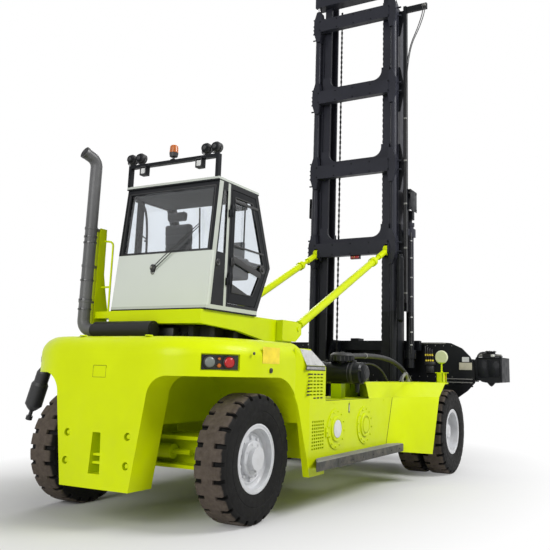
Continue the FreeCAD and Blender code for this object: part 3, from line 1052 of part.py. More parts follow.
lug_a = prism("tilt_lug", "XZ", [("mast_x", "tilt_front_z-160"), ("tilt_front_x-60", "tilt_front_z-60"),
                                 ("tilt_front_x-60", "tilt_front_z+60"), ("mast_x", "tilt_front_z+420")],
              ("-tilt_cyl_y-eye_half-side_gap-22", "-tilt_cyl_y-eye_half-side_gap"))
lug_b = prism("tilt_lug_in", "XZ", [("mast_x-75", "tilt_front_z-120"), ("tilt_front_x-60", "tilt_front_z-60"),
                                    ("tilt_front_x-60", "tilt_front_z+60"), ("mast_x-75", "tilt_front_z+190")],
              ("-tilt_cyl_y+eye_half+side_gap", "-tilt_cyl_y+eye_half+side_gap+22"))
front_pin = cyl("tilt_front_pin", "y", ("tilt_front_x", "-tilt_cyl_y-eye_half-side_gap-30", "tilt_front_z"), "eye_pin_r",
                "2*eye_half+2*side_gap+60")
eye_space = box("tilt_eye_space", ("tilt_front_x-eye_r-30", "tilt_front_x+eye_r+15"),
                ("-tilt_cyl_y-eye_half-side_gap", "-tilt_cyl_y+eye_half+side_gap"),
                ("tilt_front_z-eye_r-60", "tilt_front_z+eye_r+20"))
outer_side = fuse("outer_side", [outer_rail, trunnion] + gussets + pegs)
lugs = fuse("tilt_lugs", [lug_a, lug_b, front_pin])
cyl_holes = [cyl("outer_cyl_hole_" + t, "z", (LIFT_X, y, "mast_foot"), "lift_cyl_r-2", "outer_top") for t, y in
             (("r", "-lift_cyl_y"), ("l", "lift_cyl_y"))]
outer_whole = cut("outer_whole", fuse("outer_all", beams + [foot_beam, both("outer_sides", outer_side)]),
                  cyl_holes + [both("tilt_spaces", eye_space)])
tube = cut("lift_tube_raw", fuse("lift_tube_all", [
    cyl("lift_tube_out", "z", (LIFT_X, "-lift_cyl_y", "lift_low"), "lift_cyl_r", "outer_top-100-lift_low"),
    box("lift_tube_foot", ("mast_x-100", "mast_x+1"), ("-lift_cyl_y-48", "-lift_cyl_y+48"), ("lift_low", "lift_low+60"))]),
    [cyl("lift_tube_bore", "z", (LIFT_X, "-lift_cyl_y", "lift_low+100"), "lift_rod_r+run_gap", "outer_top")])

beam_lamp = box("beam_lamp", ("mast_x-150", "mast_x-90"), ("-170", "10"), ("beam_first-62", "beam_first+1"))
guide = box("hose_guide_raw", ("mast_x+40", "mast_x+120"), ("-rail_out_y-150", "-rail_out_y-90"), ("2600", "outer_top+20"))
node("outer_mast", fuse("outer_mast_raw", [outer_whole, beam_lamp, both("tilt_lugs_both", lugs), both("lift_tubes", tube)]))
guide_ties = [box("hose_guide_tie_%d" % k, ("mast_x+60", "mast_x+120"), ("-rail_out_y-95", "-rail_out_y"),
                  ("beam_first+%d*beam_pitch+60" % k, "beam_first+%d*beam_pitch+190" % k)) for k in range(4)]
hose_arm = box("hose_guide_arm", ("mast_x+60", "mast_x+120"), ("-rail_out_y-540", "-rail_out_y-149"), ("outer_top-100", "outer_top+10"))
braces = []
for k in range(4):
    low = "beam_first+%d*beam_pitch" % k
    if k < 3:
        braces.append(prism("hose_guide_brace_%d" % k, "YZ", [
            ("-rail_out_y", low + "+190"), ("-rail_out_y", low + "+560"), ("-rail_out_y-24", low + "+560"),
            ("-rail_out_y-95", low + "+190")], ("mast_x+60", "mast_x+76")))
    braces.append(prism("hose_guide_brace_low_%d" % k, "YZ", [
        ("-rail_out_y", low + "+60"), ("-rail_out_y-95", low + "+60"), ("-rail_out_y-24", low + "-310"),
        ("-rail_out_y", low + "-310")], ("mast_x+60", "mast_x+76")))
# the upright tube beside the right rail, with its two straps
STORE_X = "(mast_x-120)"
STORE_Y = "(-rail_out_y-96)"
store = turned("store_tube", [("0", "0"), ("0", "30"), ("40", "60"), ("1110", "60"), ("1140", "45"), ("1180", "45"), ("1180", "0")],
               (STORE_X, STORE_Y, "2400"), "z")
store_bands = [cyl("store_band_%d" % k, "z", (STORE_X, STORE_Y, z), "66", "40") for k, z in enumerate(("2800", "3300"))]
store_straps = [box("store_strap_%d" % k, (STORE_X + "+20", "mast_x+20"), ("-rail_out_y-80", "-rail_out_y-12"), (z, z + "+40"))
                for k, z in enumerate(("2800", "3300"))]
store_root = box("store_root", ("mast_x+2", "mast_x+60"), ("-rail_out_y-95", "-rail_out_y"), ("2790", "3350"))
node("hose_guide", fuse("hose_guide_all", [guide, hose_arm, store, store_root] + store_bands + store_straps + guide_ties
                        + braces))

# ---------------------------------------------------------------- inner mast
inner_rail = prism("inner_rail", "XY", rail_section(INNER_OUT), ("inner_low", "inner_top"))
roll = "(rail_depth/2-rail_rim-roller_gap)"
inner_rollers = [cyl("inner_roller_%d" % k, "y", ("mast_x+rail_depth/2", "-(%s+rail_flange-rail_web-6+stage_gap)" % INNER_OUT, z),
                     roll, "rail_flange-rail_web-6+stage_gap+2") for k, z in enumerate(("inner_low+140", "inner_low+900"))]
INNER_HALF = D.rail_out_y - D.rail_flange - D.stage_gap
window_half = INNER_HALF - D.rail_flange - 15
inner_beams = []
for k in range(3):
    low = D.beam_first + D.beam_high - 20 + k * D.beam_pitch
    web_line = [(INNER_HALF, low, 0), (INNER_HALF, low + 330, 0), (window_half, low + 330, 0), (window_half, low + 110, 170)]
    corners = web_line + [(-u, v, r) for u, v, r in reversed(web_line)]
    inner_beams.append(rounded("inner_beam_%d" % k, "YZ", corners, (D.mast_x - 58, D.mast_x + 1)))
head = box("inner_head", (LIFT_X + "-60", "mast_x+90"), ("-lift_cyl_y-60", "lift_cyl_y+60"), ("inner_top-240", "inner_top"))
foot_bar = box("inner_foot_bar", ("mast_x+rail_rim+4", "mast_x+rail_rim+104"), ("-%s+rail_web-1" % INNER_OUT, "%s-rail_web+1" % INNER_OUT),
               ("inner_low", "inner_low+50"))
arms = []
for k, z in enumerate(("free_low+160", "free_top-260")):
    arms.append(box("free_arm_%d" % k, (FRONT + "+8", FRONT + "+48"), ("-free_cyl_y-free_cyl_r-20", "-%s+rail_flange" % INNER_OUT), (z, z + "+150")))
    arms.append(box("free_arm_web_%d" % k, (FRONT + "-2", FRONT + "+9"), ("-%s" % INNER_OUT, "-%s+rail_flange-2" % INNER_OUT), (z, z + "+150")))
    arms.append(cyl("free_arm_ring_%d" % k, "z", ("free_cyl_x", "-free_cyl_y", z), "free_cyl_r+22", "150"))
CHAIN_X = "(free_cyl_x-sheave_r-2)"
chain_core = box("free_chain_core", (CHAIN_X + "-22", CHAIN_X), ("-free_cyl_y-24", "-free_cyl_y+24"),
                 ("free_top-260", "free_top+sheave_rise"))
chain_links = [box("free_chain_link_%d" % k, (CHAIN_X + "-27", CHAIN_X + "-21"), ("-free_cyl_y-24", "-free_cyl_y+24"),
                   ("free_top-110+%d" % (52 * k), "free_top-84+%d" % (52 * k))) for k in range(10)]
anchor = box("free_chain_anchor", (CHAIN_X + "-28", "free_cyl_x-free_cyl_r+4"), ("-free_cyl_y-30", "-free_cyl_y+30"),
             ("free_top-240", "free_top-130"))
arms += [chain_core, anchor] + chain_links
free_holes = cyl("free_arm_hole", "z", ("free_cyl_x", "-free_cyl_y", "free_low"), "free_cyl_r-2", "free_top")
inner_side = cut("inner_side", fuse("inner_side_all", [inner_rail] + inner_rollers + arms), [free_holes])
rod = cyl("lift_rod_raw", "z", (LIFT_X, "-lift_cyl_y", "lift_low+120"), "lift_rod_r", "inner_top-240-lift_low-120")
pair("lift_rod", rod)
free_tube = cut("free_tube_raw", fuse("free_tube_all", [
    cyl("free_tube_out", "z", ("free_cyl_x", "-free_cyl_y", "free_low"), "free_cyl_r", "free_top-free_low"),
    cyl("free_tube_collar", "z", ("free_cyl_x", "-free_cyl_y", "free_top-60"), "free_cyl_r+14", "60")]),
    [cyl("free_tube_bore", "z", ("free_cyl_x", "-free_cyl_y", "free_low+60"), "free_rod_r+run_gap", "free_top")])
node("inner_mast", fuse("inner_mast_raw", inner_beams + [head, foot_bar, both("inner_sides", inner_side), both("free_tubes", free_tube)]))
SHEAVE_Z = "free_top+sheave_rise"
free_rod = cyl("free_rod_raw", "z", ("free_cyl_x", "-free_cyl_y", "free_low+80"), "free_rod_r", "free_top-free_low+150")
fork = box("free_fork", ("free_cyl_x-45", "free_cyl_x+45"), ("-free_cyl_y-70", "-free_cyl_y+70"), ("free_top+60", "free_top+220"))
fork_a = box("free_fork_a", ("free_cyl_x-45", "free_cyl_x+45"), ("-free_cyl_y-70", "-free_cyl_y-52"), ("free_top+200", SHEAVE_Z + "+70"))
fork_b = box("free_fork_b", ("free_cyl_x-45", "free_cyl_x+45"), ("-free_cyl_y+52", "-free_cyl_y+70"), ("free_top+200", SHEAVE_Z + "+70"))
sheave = turned("free_sheave", [("-50", "0"), ("-50", "sheave_r"), ("-40", "sheave_r"), ("-36", "sheave_r-22"), ("36", "sheave_r-22"),
                                ("40", "sheave_r"), ("50", "sheave_r"), ("50", "0")], ("free_cyl_x", "-free_cyl_y", SHEAVE_Z), "y")
axle_pin = cyl("free_sheave_pin", "y", ("free_cyl_x", "-free_cyl_y-75", SHEAVE_Z), "25", "150")
pair("free_lift_ram", fuse("free_ram_raw", [free_rod, fork, fork_a, fork_b, sheave, axle_pin]))

# ---------------------------------------------------------------- tilt cylinders
ALONG = "(tilt_front_x-tilt_rear_x)"
RISE = "(tilt_front_z-tilt_rear_z)"
TILT_LEN = "sqrt(%s^2+%s^2)" % (ALONG, RISE)
TUBE_END = "(%s-tilt_rod_show)" % TILT_LEN


def along_tilt(name, start, radius, length):
    """Cylinder on the tilt cylinder's axis, from start mm beyond the chassis pin."""
    obj = doc.addObject("Part::Cylinder", name)
    prop(obj, "Radius", radius)
    prop(obj, "Height", length)
    obj.Placement = Placement(Vector(), Rotation(Vector(0, 1, 0), 60))
    prop(obj, "Placement.Rotation.Angle", "90 deg - atan2(%s; %s)" % (RISE, ALONG))
    base(obj, "tilt_rear_x+(%s)*%s/%s" % (start, ALONG, TILT_LEN), "-tilt_cyl_y", "tilt_rear_z+(%s)*%s/%s" % (start, RISE, TILT_LEN))
    return obj


t_tube = along_tilt("tilt_tube_out", "eye_r+50", "tilt_tube_r", TUBE_END + "-eye_r-50")
t_neck = along_tilt("tilt_tube_neck", "eye_r-20", "eye_half-3", "80")
t_collar = along_tilt("tilt_tube_collar", TUBE_END + "-90", "tilt_tube_r+16", "90")
t_bore = along_tilt("tilt_tube_bore", "eye_r+90", "tilt_rod_r+run_gap", "4000")
t_eye = cyl("tilt_tube_eye", "y", ("tilt_rear_x", "-tilt_cyl_y-eye_half", "tilt_rear_z"), "eye_r", "2*eye_half")
t_hole = cyl("tilt_tube_hole", "y", ("tilt_rear_x", "-tilt_cyl_y-eye_half-1", "tilt_rear_z"), "eye_pin_r+run_gap", "2*eye_half+2")
pair("tilt_tube", cut("tilt_tube_raw", fuse("tilt_tube_all", [t_tube, t_neck, t_collar, t_eye]), [t_hole, t_bore]))
r_rod = along_tilt("tilt_rod_out", TUBE_END + "-1500", "tilt_rod_r", "tilt_rod_show+1500-eye_r+10")
r_sleeve = along_tilt("tilt_rod_sleeve", TUBE_END + "+215", "tilt_sleeve_r", "tilt_rod_show-215-eye_r-35")
r_eye = cyl("tilt_rod_eye", "y", ("tilt_front_x", "-tilt_cyl_y-eye_half", "tilt_front_z"), "eye_r", "2*eye_half")
r_hole = cyl("tilt_rod_hole", "y", ("tilt_front_x", "-tilt_cyl_y-eye_half-1", "tilt_front_z"), "eye_pin_r+8", "2*eye_half+2")
pair("tilt_rod", cut("tilt_rod_raw", fuse("tilt_rod_all", [r_rod, r_sleeve, r_eye]), [r_hole]))

# ---------------------------------------------------------------- carriage
CAR_IN = "(%s-rail_flange-stage_gap)" % INNER_OUT
side_plate = prism("carriage_side", "XZ", [("mast_x+80", "carriage_low"), ("carriage_x+1", "carriage_low"), ("carriage_x+1", "carriage_top"),
                                           ("mast_x+200", "carriage_top"), ("mast_x+80", "carriage_top-250")],
                   ("-%s" % CAR_IN, "-%s+50" % CAR_IN))
car_rollers = [cyl("carriage_roller_%d" % k, "y", ("mast_x+rail_depth/2", "-(%s+rail_flange-rail_web+stage_gap-6)" % CAR_IN, z), roll,
                   "rail_flange-rail_web+stage_gap-4") for k, z in enumerate(("carriage_low+160", "carriage_top-400"))]
upper_bar = box("carriage_upper", ("carriage_x", "carriage_x+carriage_thick"), ("-1050", "1050"), ("carriage_top-170", "carriage_top"))
lower_bar = box("carriage_lower", ("carriage_x", "carriage_x+carriage_thick"), ("-carriage_half", "carriage_half"), ("carriage_low+450", "carriage_low+600"))
uprights = [box("carriage_upright_" + t, ("carriage_x", "carriage_x+100"), y, ("carriage_low", "carriage_top-160"))
            for t, y in (("r", ("-%s" % CAR_IN, "-%s+160" % CAR_IN)), ("l", ("%s-160" % CAR_IN, CAR_IN)))]
node("carriage", fuse("carriage_raw", [upper_bar, lower_bar, both("carriage_sides", fuse("carriage_side_all", [side_plate] + car_rollers))] + uprights))

# ---------------------------------------------------------------- spreader
MID = "side_shift"


def off(half):
    return ("%s-(%s)" % (MID, half), "%s+%s" % (MID, half))


plate_pts = [("-spread_half", "spread_low+80"), ("-spread_half", "spread_top-400"), ("-spread_half+80", "spread_top-240"),
             ("-spread_half+220", "spread_top-100"), ("-spread_half+420", "spread_top-10"), ("-spread_half+560", "spread_top"),
             ("spread_half-560", "spread_top"), ("spread_half-420", "spread_top-10"), ("spread_half-220", "spread_top-100"),
             ("spread_half-80", "spread_top-240"), ("spread_half", "spread_top-400"), ("spread_half", "spread_low+80"),
             ("spread_half-130", "spread_low-60"), ("spread_half-300", "spread_low-180"), ("-spread_half+300", "spread_low-180"),
             ("-spread_half+130", "spread_low-60")]
back = prism("spread_back", "YZ", [("side_shift+(%s)" % a, b) for a, b in plate_pts], ("spread_x", "spread_x+30"))
BAY_LOW = "arm_low-0.3"
BAY_TOP = "arm_low+arm_high+arm_gap"
beam_body = box("spread_beam", ("spread_x+29", "spread_x+spread_depth"), off("spread_half-40"), (BAY_LOW + "-25", BAY_TOP + "+25"))
bay_wall = "(spread_depth-30-3*24)/2"
bays = []
for k in range(2):
    x0 = "spread_x+30+24+%d*(%s+24)" % (k, bay_wall)
    bays.append(box("spread_bay_%d" % k, (x0, x0 + "+" + bay_wall), off("spread_half+10"), (BAY_LOW, BAY_TOP)))
shoes = [box("spread_shoe_%d" % k, ("carriage_x+carriage_thick+0.3", "spread_x+1"), (y, y + "+160"), z) for k, (y, z) in enumerate((
    ("side_shift-460", ("carriage_top-170", "carriage_top+45")), ("side_shift+300", ("carriage_top-170", "carriage_top+45"))))]
low_shoes = [box("spread_low_shoe_%d" % k, ("carriage_x+carriage_thick+0.3", "spread_x+1"), (y, y + "+160"),
                 ("spread_low-170", "spread_low-40")) for k, y in enumerate(("side_shift-460", "side_shift+300"))]
hooks = [box("spread_hook_%d" % k, ("carriage_x+20", "spread_x+1"), (y, y + "+160"), ("carriage_top+0.3", "carriage_top+45"))
         for k, y in enumerate(("side_shift-460", "side_shift+300"))]
ribs = [box("spread_rib_%d" % k, ("spread_x-16", "spread_x+1"), off("spread_half-30"), (z, z + "+22"))
        for k, z in enumerate(("spread_low+5", "spread_low+45", "spread_low+85"))]
node("spreader_frame", cut("spreader_frame_raw", fuse("spreader_all", [back, beam_body] + ribs + shoes + low_shoes + hooks), bays))
for k, (label, sign) in enumerate((("spreader_arm_right", "-"), ("spreader_arm_left", ""))):
    x0 = "spread_x+30+24+%d*(%s+24)+arm_gap" % (k, bay_wall)
    x1 = "spread_x+30+24+%d*(%s+24)+%s-arm_gap" % (k, bay_wall, bay_wall)
    if sign == "-":
        span = ("side_shift-arm_reach+40", "side_shift+spread_half-700")
        head_y = ("side_shift-arm_reach", "side_shift-spread_half-12")
    else:
        span = ("side_shift-spread_half+700", "side_shift+arm_reach-40")
        head_y = ("side_shift+spread_half+12", "side_shift+arm_reach")
    arm = box(label + "_beam", (x0, x1), span, ("arm_low", "arm_low+arm_high"))
    inner_y, outer_y = (head_y[1], head_y[0]) if sign == "-" else head_y
    toward = "-" if sign == "-" else "+"
    head_line = [(inner_y, "arm_low+60"), (inner_y, "arm_low+arm_high+40"), (inner_y + toward + "30", "arm_low+arm_high+60"),
                 (outer_y, "arm_low+arm_high+60"), (outer_y, "arm_low-20"), (inner_y + toward + "240", "arm_low-40"),
                 (inner_y + toward + "110", "arm_low-20")]
    if sign == "":
        head_line.reverse()
    head_box = prism(label + "_head", "YZ", head_line, ("spread_x+10", "spread_x+spread_depth+160"))
    middle_y = "((%s+%s)/2)" % (inner_y, outer_y)
    lock_block = box(label + "_lock", ("spread_x+30", "spread_x+330"), (middle_y + "-110", middle_y + "+110"),
                     ("arm_low+arm_high+59", "arm_low+arm_high+130"))
    lock_lid = cyl(label + "_lock_lid", "z", ("spread_x+180", middle_y, "arm_low+arm_high+129"), "80", "30")
    lock_bar = cyl(label + "_lock_bar", "y", ("spread_x+80", "%s-200" % middle_y, "arm_low+arm_high+105"), "12", "400")
    node(label, fuse(label + "_raw", [arm, head_box, lock_block, lock_lid, lock_bar]))

# ---------------------------------------------------------------- checks and export
doc.recompute()
faults = [o.Name for o in doc.Objects if "Invalid" in o.State or "Error" in o.State]
if faults:
    raise RuntimeError("failed objects: " + ", ".join(faults))
for piece in NODES:
    if piece.Shape.isNull() or not piece.Shape.isValid():
        raise RuntimeError("bad shape: " + piece.Label)
    if not piece.Shape.Solids:
        raise RuntimeError("no solid: " + piece.Label)
os.makedirs("parts", exist_ok=True)
for piece in NODES:
    piece.Shape.exportStep("parts/%s.step" % piece.Label)
print("pieces", len(NODES))
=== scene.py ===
import bpy
import bmesh
import json
import math
from mathutils import Matrix, Vector


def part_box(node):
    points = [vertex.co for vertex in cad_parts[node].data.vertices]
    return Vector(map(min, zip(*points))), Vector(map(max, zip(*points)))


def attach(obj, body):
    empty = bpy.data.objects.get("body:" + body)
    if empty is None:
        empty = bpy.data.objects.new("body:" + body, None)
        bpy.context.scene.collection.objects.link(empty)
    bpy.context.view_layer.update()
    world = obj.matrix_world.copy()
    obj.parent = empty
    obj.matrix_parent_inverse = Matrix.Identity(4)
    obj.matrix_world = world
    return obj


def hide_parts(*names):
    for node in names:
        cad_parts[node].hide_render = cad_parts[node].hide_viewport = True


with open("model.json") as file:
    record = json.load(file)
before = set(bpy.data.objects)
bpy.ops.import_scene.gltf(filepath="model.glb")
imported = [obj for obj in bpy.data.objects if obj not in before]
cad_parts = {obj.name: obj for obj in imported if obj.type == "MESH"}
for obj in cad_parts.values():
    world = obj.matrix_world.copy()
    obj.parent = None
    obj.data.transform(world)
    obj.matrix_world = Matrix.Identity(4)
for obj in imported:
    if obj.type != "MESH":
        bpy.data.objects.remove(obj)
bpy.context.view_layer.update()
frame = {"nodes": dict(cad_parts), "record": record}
NODES = frame["nodes"]
SLOTS = {part["node"]: part["material_slot"] for part in frame["record"]["subparts"]}

# All lengths are in metres. The row frame is the vehicle frame (X forward from the
# steering axle, Y left, Z up) moved by this much.
SHIFT = Vector((-2.76, -0.6, 0.0))
AHEAD, BACK = Vector((1, 0, 0)), Vector((-1, 0, 0))
RIGHT, UP, DOWN = Vector((0, -1, 0)), Vector((0, 0, 1)), Vector((0, 0, -1))


def at(x, y, z):
    """Point of the vehicle frame in the row frame."""
    return Vector((x, y, z)) + SHIFT


def places(*points):
    """Points of the vehicle frame in the row frame."""
    return [at(*p) for p in points]


class Side:
    """One flank of the vehicle, on which y is the distance out from the middle plane."""

    def __init__(self, name, sign):
        self.name = name
        self.sign = sign
        self.out = Vector((0, sign, 0))

    def at(self, x, y, z):
        return at(x, self.sign * y, z)

    def way(self, x, y, z):
        return Vector((x, self.sign * y, z))

    def slab(self, bm, points, push, edge=0.0015):
        line = [self.at(*p) for p in points]
        slab(bm, line[::-self.sign], self.way(*push), edge)

    def block(self, bm, corner, other, edge=0.004, steps=2):
        block(bm, self.at(*corner), self.at(*other), edge, steps)


SIDES = (Side("right", -1), Side("left", 1))

# ---------------------------------------------------------------- camera

PICTURE = 550  # pixels


def make_camera():
    """Camera solved from the photo."""
    yaw, pitch, roll = math.radians(27.909), math.radians(10.854), math.radians(1.357)
    ahead = Vector((math.cos(yaw) * math.cos(pitch), math.sin(yaw) * math.cos(pitch), math.sin(pitch)))
    right = Vector((math.sin(yaw), -math.cos(yaw), 0.0))
    up = right.cross(ahead)
    side = right * math.cos(roll) + up * math.sin(roll)
    top = up * math.cos(roll) - right * math.sin(roll)
    data = bpy.data.cameras.new("photo_camera")
    data.sensor_width = 36.0
    data.lens = 45.84
    data.shift_x = -39.6 / PICTURE
    data.shift_y = -37.6 / PICTURE
    data.clip_end = 400.0
    camera = bpy.data.objects.new("photo_camera", data)
    place = at(-6.328, -5.238, 1.535)
    camera.matrix_world = Matrix((
        (side.x, top.x, -ahead.x, place.x),
        (side.y, top.y, -ahead.y, place.y),
        (side.z, top.z, -ahead.z, place.z),
        (0.0, 0.0, 0.0, 1.0),
    ))
    bpy.context.scene.collection.objects.link(camera)
    bpy.context.scene.camera = camera


make_camera()

# ---------------------------------------------------------------- materials


class Nodes:
    """Adds shader nodes to a material or a world and joins them."""

    def __init__(self, owner):
        owner.use_nodes = True
        self.material = owner
        self.tree = owner.node_tree
        self.shader = self.tree.nodes.get("Principled BSDF")

    def add(self, kind, inputs=(), **settings):
        made = self.tree.nodes.new(kind)
        for key, value in settings.items():
            setattr(made, key, value)
        for key, value in dict(inputs).items():
            made.inputs[key].default_value = value
        return made

    def link(self, out, into):
        self.tree.links.new(out, into)

    def coords(self):
        if not hasattr(self, "_coords"):
            self._coords = self.add("ShaderNodeTexCoord").outputs["Object"]
        return self._coords

    def axes(self):
        if not hasattr(self, "_axes"):
            split = self.add("ShaderNodeSeparateXYZ")
            self.link(self.coords(), split.inputs["Vector"])
            self._axes = split.outputs
        return self._axes

    def noise(self, scale, detail=4.0, rough=0.55, stretch=None):
        made = self.add("ShaderNodeTexNoise", {"Scale": scale, "Detail": detail, "Roughness": rough})
        source = self.coords()
        if stretch:
            mapping = self.add("ShaderNodeMapping", {"Scale": stretch})
            self.link(source, mapping.inputs["Vector"])
            source = mapping.outputs["Vector"]
        self.link(source, made.inputs["Vector"])
        return made.outputs["Fac"]

    def ramp(self, value, low, high, colour_a, colour_b):
        made = self.add("ShaderNodeValToRGB")
        for element, position, colour in zip(made.color_ramp.elements, (low, high), (colour_a, colour_b)):
            element.position = position
            element.color = tuple(colour) + (1.0,)
        self.link(value, made.inputs["Fac"])
        return made.outputs["Color"]

    def range(self, value, low, high, out_low, out_high):
        made = self.add("ShaderNodeMapRange", {"From Min": low, "From Max": high,
                                               "To Min": out_low, "To Max": out_high})
        self.link(value, made.inputs["Value"])
        return made.outputs["Result"]

    def mix(self, factor, a, b):
        made = self.add("ShaderNodeMix", data_type="RGBA")
        self.link(factor, made.inputs["Factor"])
        for socket, value in (("A", a), ("B", b)):
            target = [s for s in made.inputs if s.name == socket and s.type == "RGBA"][0]
            if isinstance(value, (tuple, list)):
                target.default_value = tuple(value) + (1.0,)
            else:
                self.link(value, target)
        return [s for s in made.outputs if s.type == "RGBA"][0]

    def mix_shader(self, factor, a, b):
        made = self.add("ShaderNodeMixShader")
        self.link(factor, made.inputs["Fac"])
        self.link(a, made.inputs[1])
        self.link(b, made.inputs[2])
        return made.outputs["Shader"]

    def math(self, kind, a, b=None):
        made = self.add("ShaderNodeMath", operation=kind)
        for socket, value in zip(made.inputs, (a, b)):
            if isinstance(value, (int, float)):
                socket.default_value = value
            elif value is not None:
                self.link(value, socket)
        return made.outputs["Value"]

    def length(self, x, y):
        return self.math("SQRT", self.math("ADD", self.math("MULTIPLY", x, x), self.math("MULTIPLY", y, y)))

    def seen(self):
        """1 for rays from the camera, also those off a mirror or through glass, and 0 for the rest."""
        path = self.add("ShaderNodeLightPath").outputs
        turned = self.math("MAXIMUM", path["Is Glossy Ray"], path["Is Transmission Ray"])
        return self.math("MAXIMUM", path["Is Camera Ray"], turned)

    def bump(self, height, strength, distance):
        made = self.add("ShaderNodeBump", {"Strength": strength, "Distance": distance})
        self.link(height, made.inputs["Height"])
        self.link(made.outputs["Normal"], self.shader.inputs["Normal"])

    def colour(self, value):
        self.link(value, self.shader.inputs["Base Color"])

    def rough(self, value):
        self.link(value, self.shader.inputs["Roughness"])

    def set(self, **values):
        for key, value in values.items():
            self.shader.inputs[key.replace("_", " ")].default_value = value


def material_nodes(name):
    return Nodes(bpy.data.materials.new(name))


def shade(colour, factor):
    return [min(1.0, c * factor) for c in colour]


DUST = (0.25, 0.22, 0.17)


def paint(name, colour, rough, coat, spread=0.12, dirt=0.0):
    """Sprayed paint: slight tone drift, orange peel, rubbed patches and dust low down."""
    n = material_nodes(name)
    tone = n.ramp(n.noise(1.3, 5.0), 0.3, 0.7, shade(colour, 1 - spread), shade(colour, 1 + spread * 0.6))
    if dirt:
        height = n.range(n.axes()["Z"], 0.2, 1.6, dirt, dirt * 0.12)
        blotch = n.range(n.noise(7.0, 8.0, 0.65), 0.42, 0.7, 0.0, 1.0)
        tone = n.mix(n.math("MULTIPLY", height, blotch), tone, DUST)
    n.colour(tone)
    n.rough(n.range(n.noise(9.0, 6.0), 0.3, 0.75, rough * 0.8, min(1.0, rough * 1.35)))
    n.set(Coat_Weight=coat, Coat_Roughness=0.08, Specular_IOR_Level=0.14)
    n.bump(n.noise(260.0, 2.0), 0.06, 0.0006)
    return n.material


def metal(name, colour, rough, brushed=(1, 1, 1)):
    """Bare metal with fine marks, drawn out where brushed is small."""
    n = material_nodes(name)
    n.colour(n.ramp(n.noise(14.0, 6.0, 0.6, brushed), 0.3, 0.75, shade(colour, 0.75), colour))
    n.rough(n.range(n.noise(40.0, 4.0, 0.6, brushed), 0.3, 0.7, rough * 0.7, min(1.0, rough * 1.5)))
    n.set(Metallic=1.0)
    n.bump(n.noise(180.0, 3.0, 0.6, brushed), 0.08, 0.0005)
    return n.material


def rubber(name, axle=None):
    """Tyre rubber: black sidewalls and, where the axle's place is given, a dusty brown tread."""
    n = material_nodes(name)
    tone = n.ramp(n.noise(11.0, 7.0, 0.7), 0.3, 0.8, (0.006, 0.006, 0.006), (0.014, 0.0135, 0.013))
    if axle:
        x = n.math("SUBTRACT", n.axes()["X"], axle.x)
        z = n.math("SUBTRACT", n.axes()["Z"], axle.z)
        brown = n.ramp(n.noise(16.0, 8.0, 0.7), 0.3, 0.75, (0.06, 0.047, 0.038), (0.115, 0.093, 0.076))
        ragged = n.math("ADD", n.length(x, z), n.math("MULTIPLY", n.noise(9.0, 5.0), 0.05))
        tone = n.mix(n.range(ragged, 0.652, 0.668, 0.0, 1.0), tone, brown)
    n.colour(tone)
    n.rough(n.range(n.noise(22.0, 5.0), 0.3, 0.75, 0.55, 0.85))
    n.set(Specular_IOR_Level=0.12)
    n.bump(n.noise(90.0, 6.0), 0.2, 0.002)
    return n.material


def plastic(name, colour, rough):
    n = material_nodes(name)
    n.colour(n.ramp(n.noise(8.0, 5.0), 0.3, 0.75, shade(colour, 0.8), shade(colour, 1.15)))
    n.rough(n.range(n.noise(30.0, 4.0), 0.3, 0.7, rough * 0.85, min(1.0, rough * 1.2)))
    n.bump(n.noise(420.0, 2.0), 0.1, 0.0004)
    return n.material


def glass(name, tint, dirt=0.05):
    n = material_nodes(name)
    n.colour(n.ramp(n.noise(3.0, 6.0), 0.3, 0.8, tint, shade(tint, 1.06)))
    n.rough(n.range(n.noise(6.0, 6.0), 0.4, 0.8, 0.0, dirt))
    n.set(IOR=1.45, Transmission_Weight=1.0)
    return n.material


def woven(name, colour):
    n = material_nodes(name)
    n.colour(n.ramp(n.noise(240.0, 3.0), 0.3, 0.7, shade(colour, 0.6), colour))
    n.set(Roughness=0.9, Sheen_Weight=0.3)
    wave = n.add("ShaderNodeTexWave", {"Scale": 190.0})
    n.link(n.coords(), wave.inputs["Vector"])
    n.bump(wave.outputs["Fac"], 0.35, 0.0012)
    return n.material


def chequer(name, colour):
    """Bright tread plate with a pattern of short raised bars."""
    n = material_nodes(name)
    n.colour(n.ramp(n.noise(12.0, 6.0), 0.3, 0.75, shade(colour, 0.7), colour))
    n.set(Metallic=0.2, Roughness=0.38)
    x = n.math("MULTIPLY", n.axes()["X"], 165.0)
    z = n.math("MULTIPLY", n.axes()["Z"], 165.0)
    left = n.math("SINE", n.math("ADD", x, z))
    right = n.math("SINE", n.math("SUBTRACT", x, z))
    n.bump(n.range(n.math("MULTIPLY", left, right), 0.1, 0.6, 0.0, 1.0), 0.9, 0.004)
    return n.material


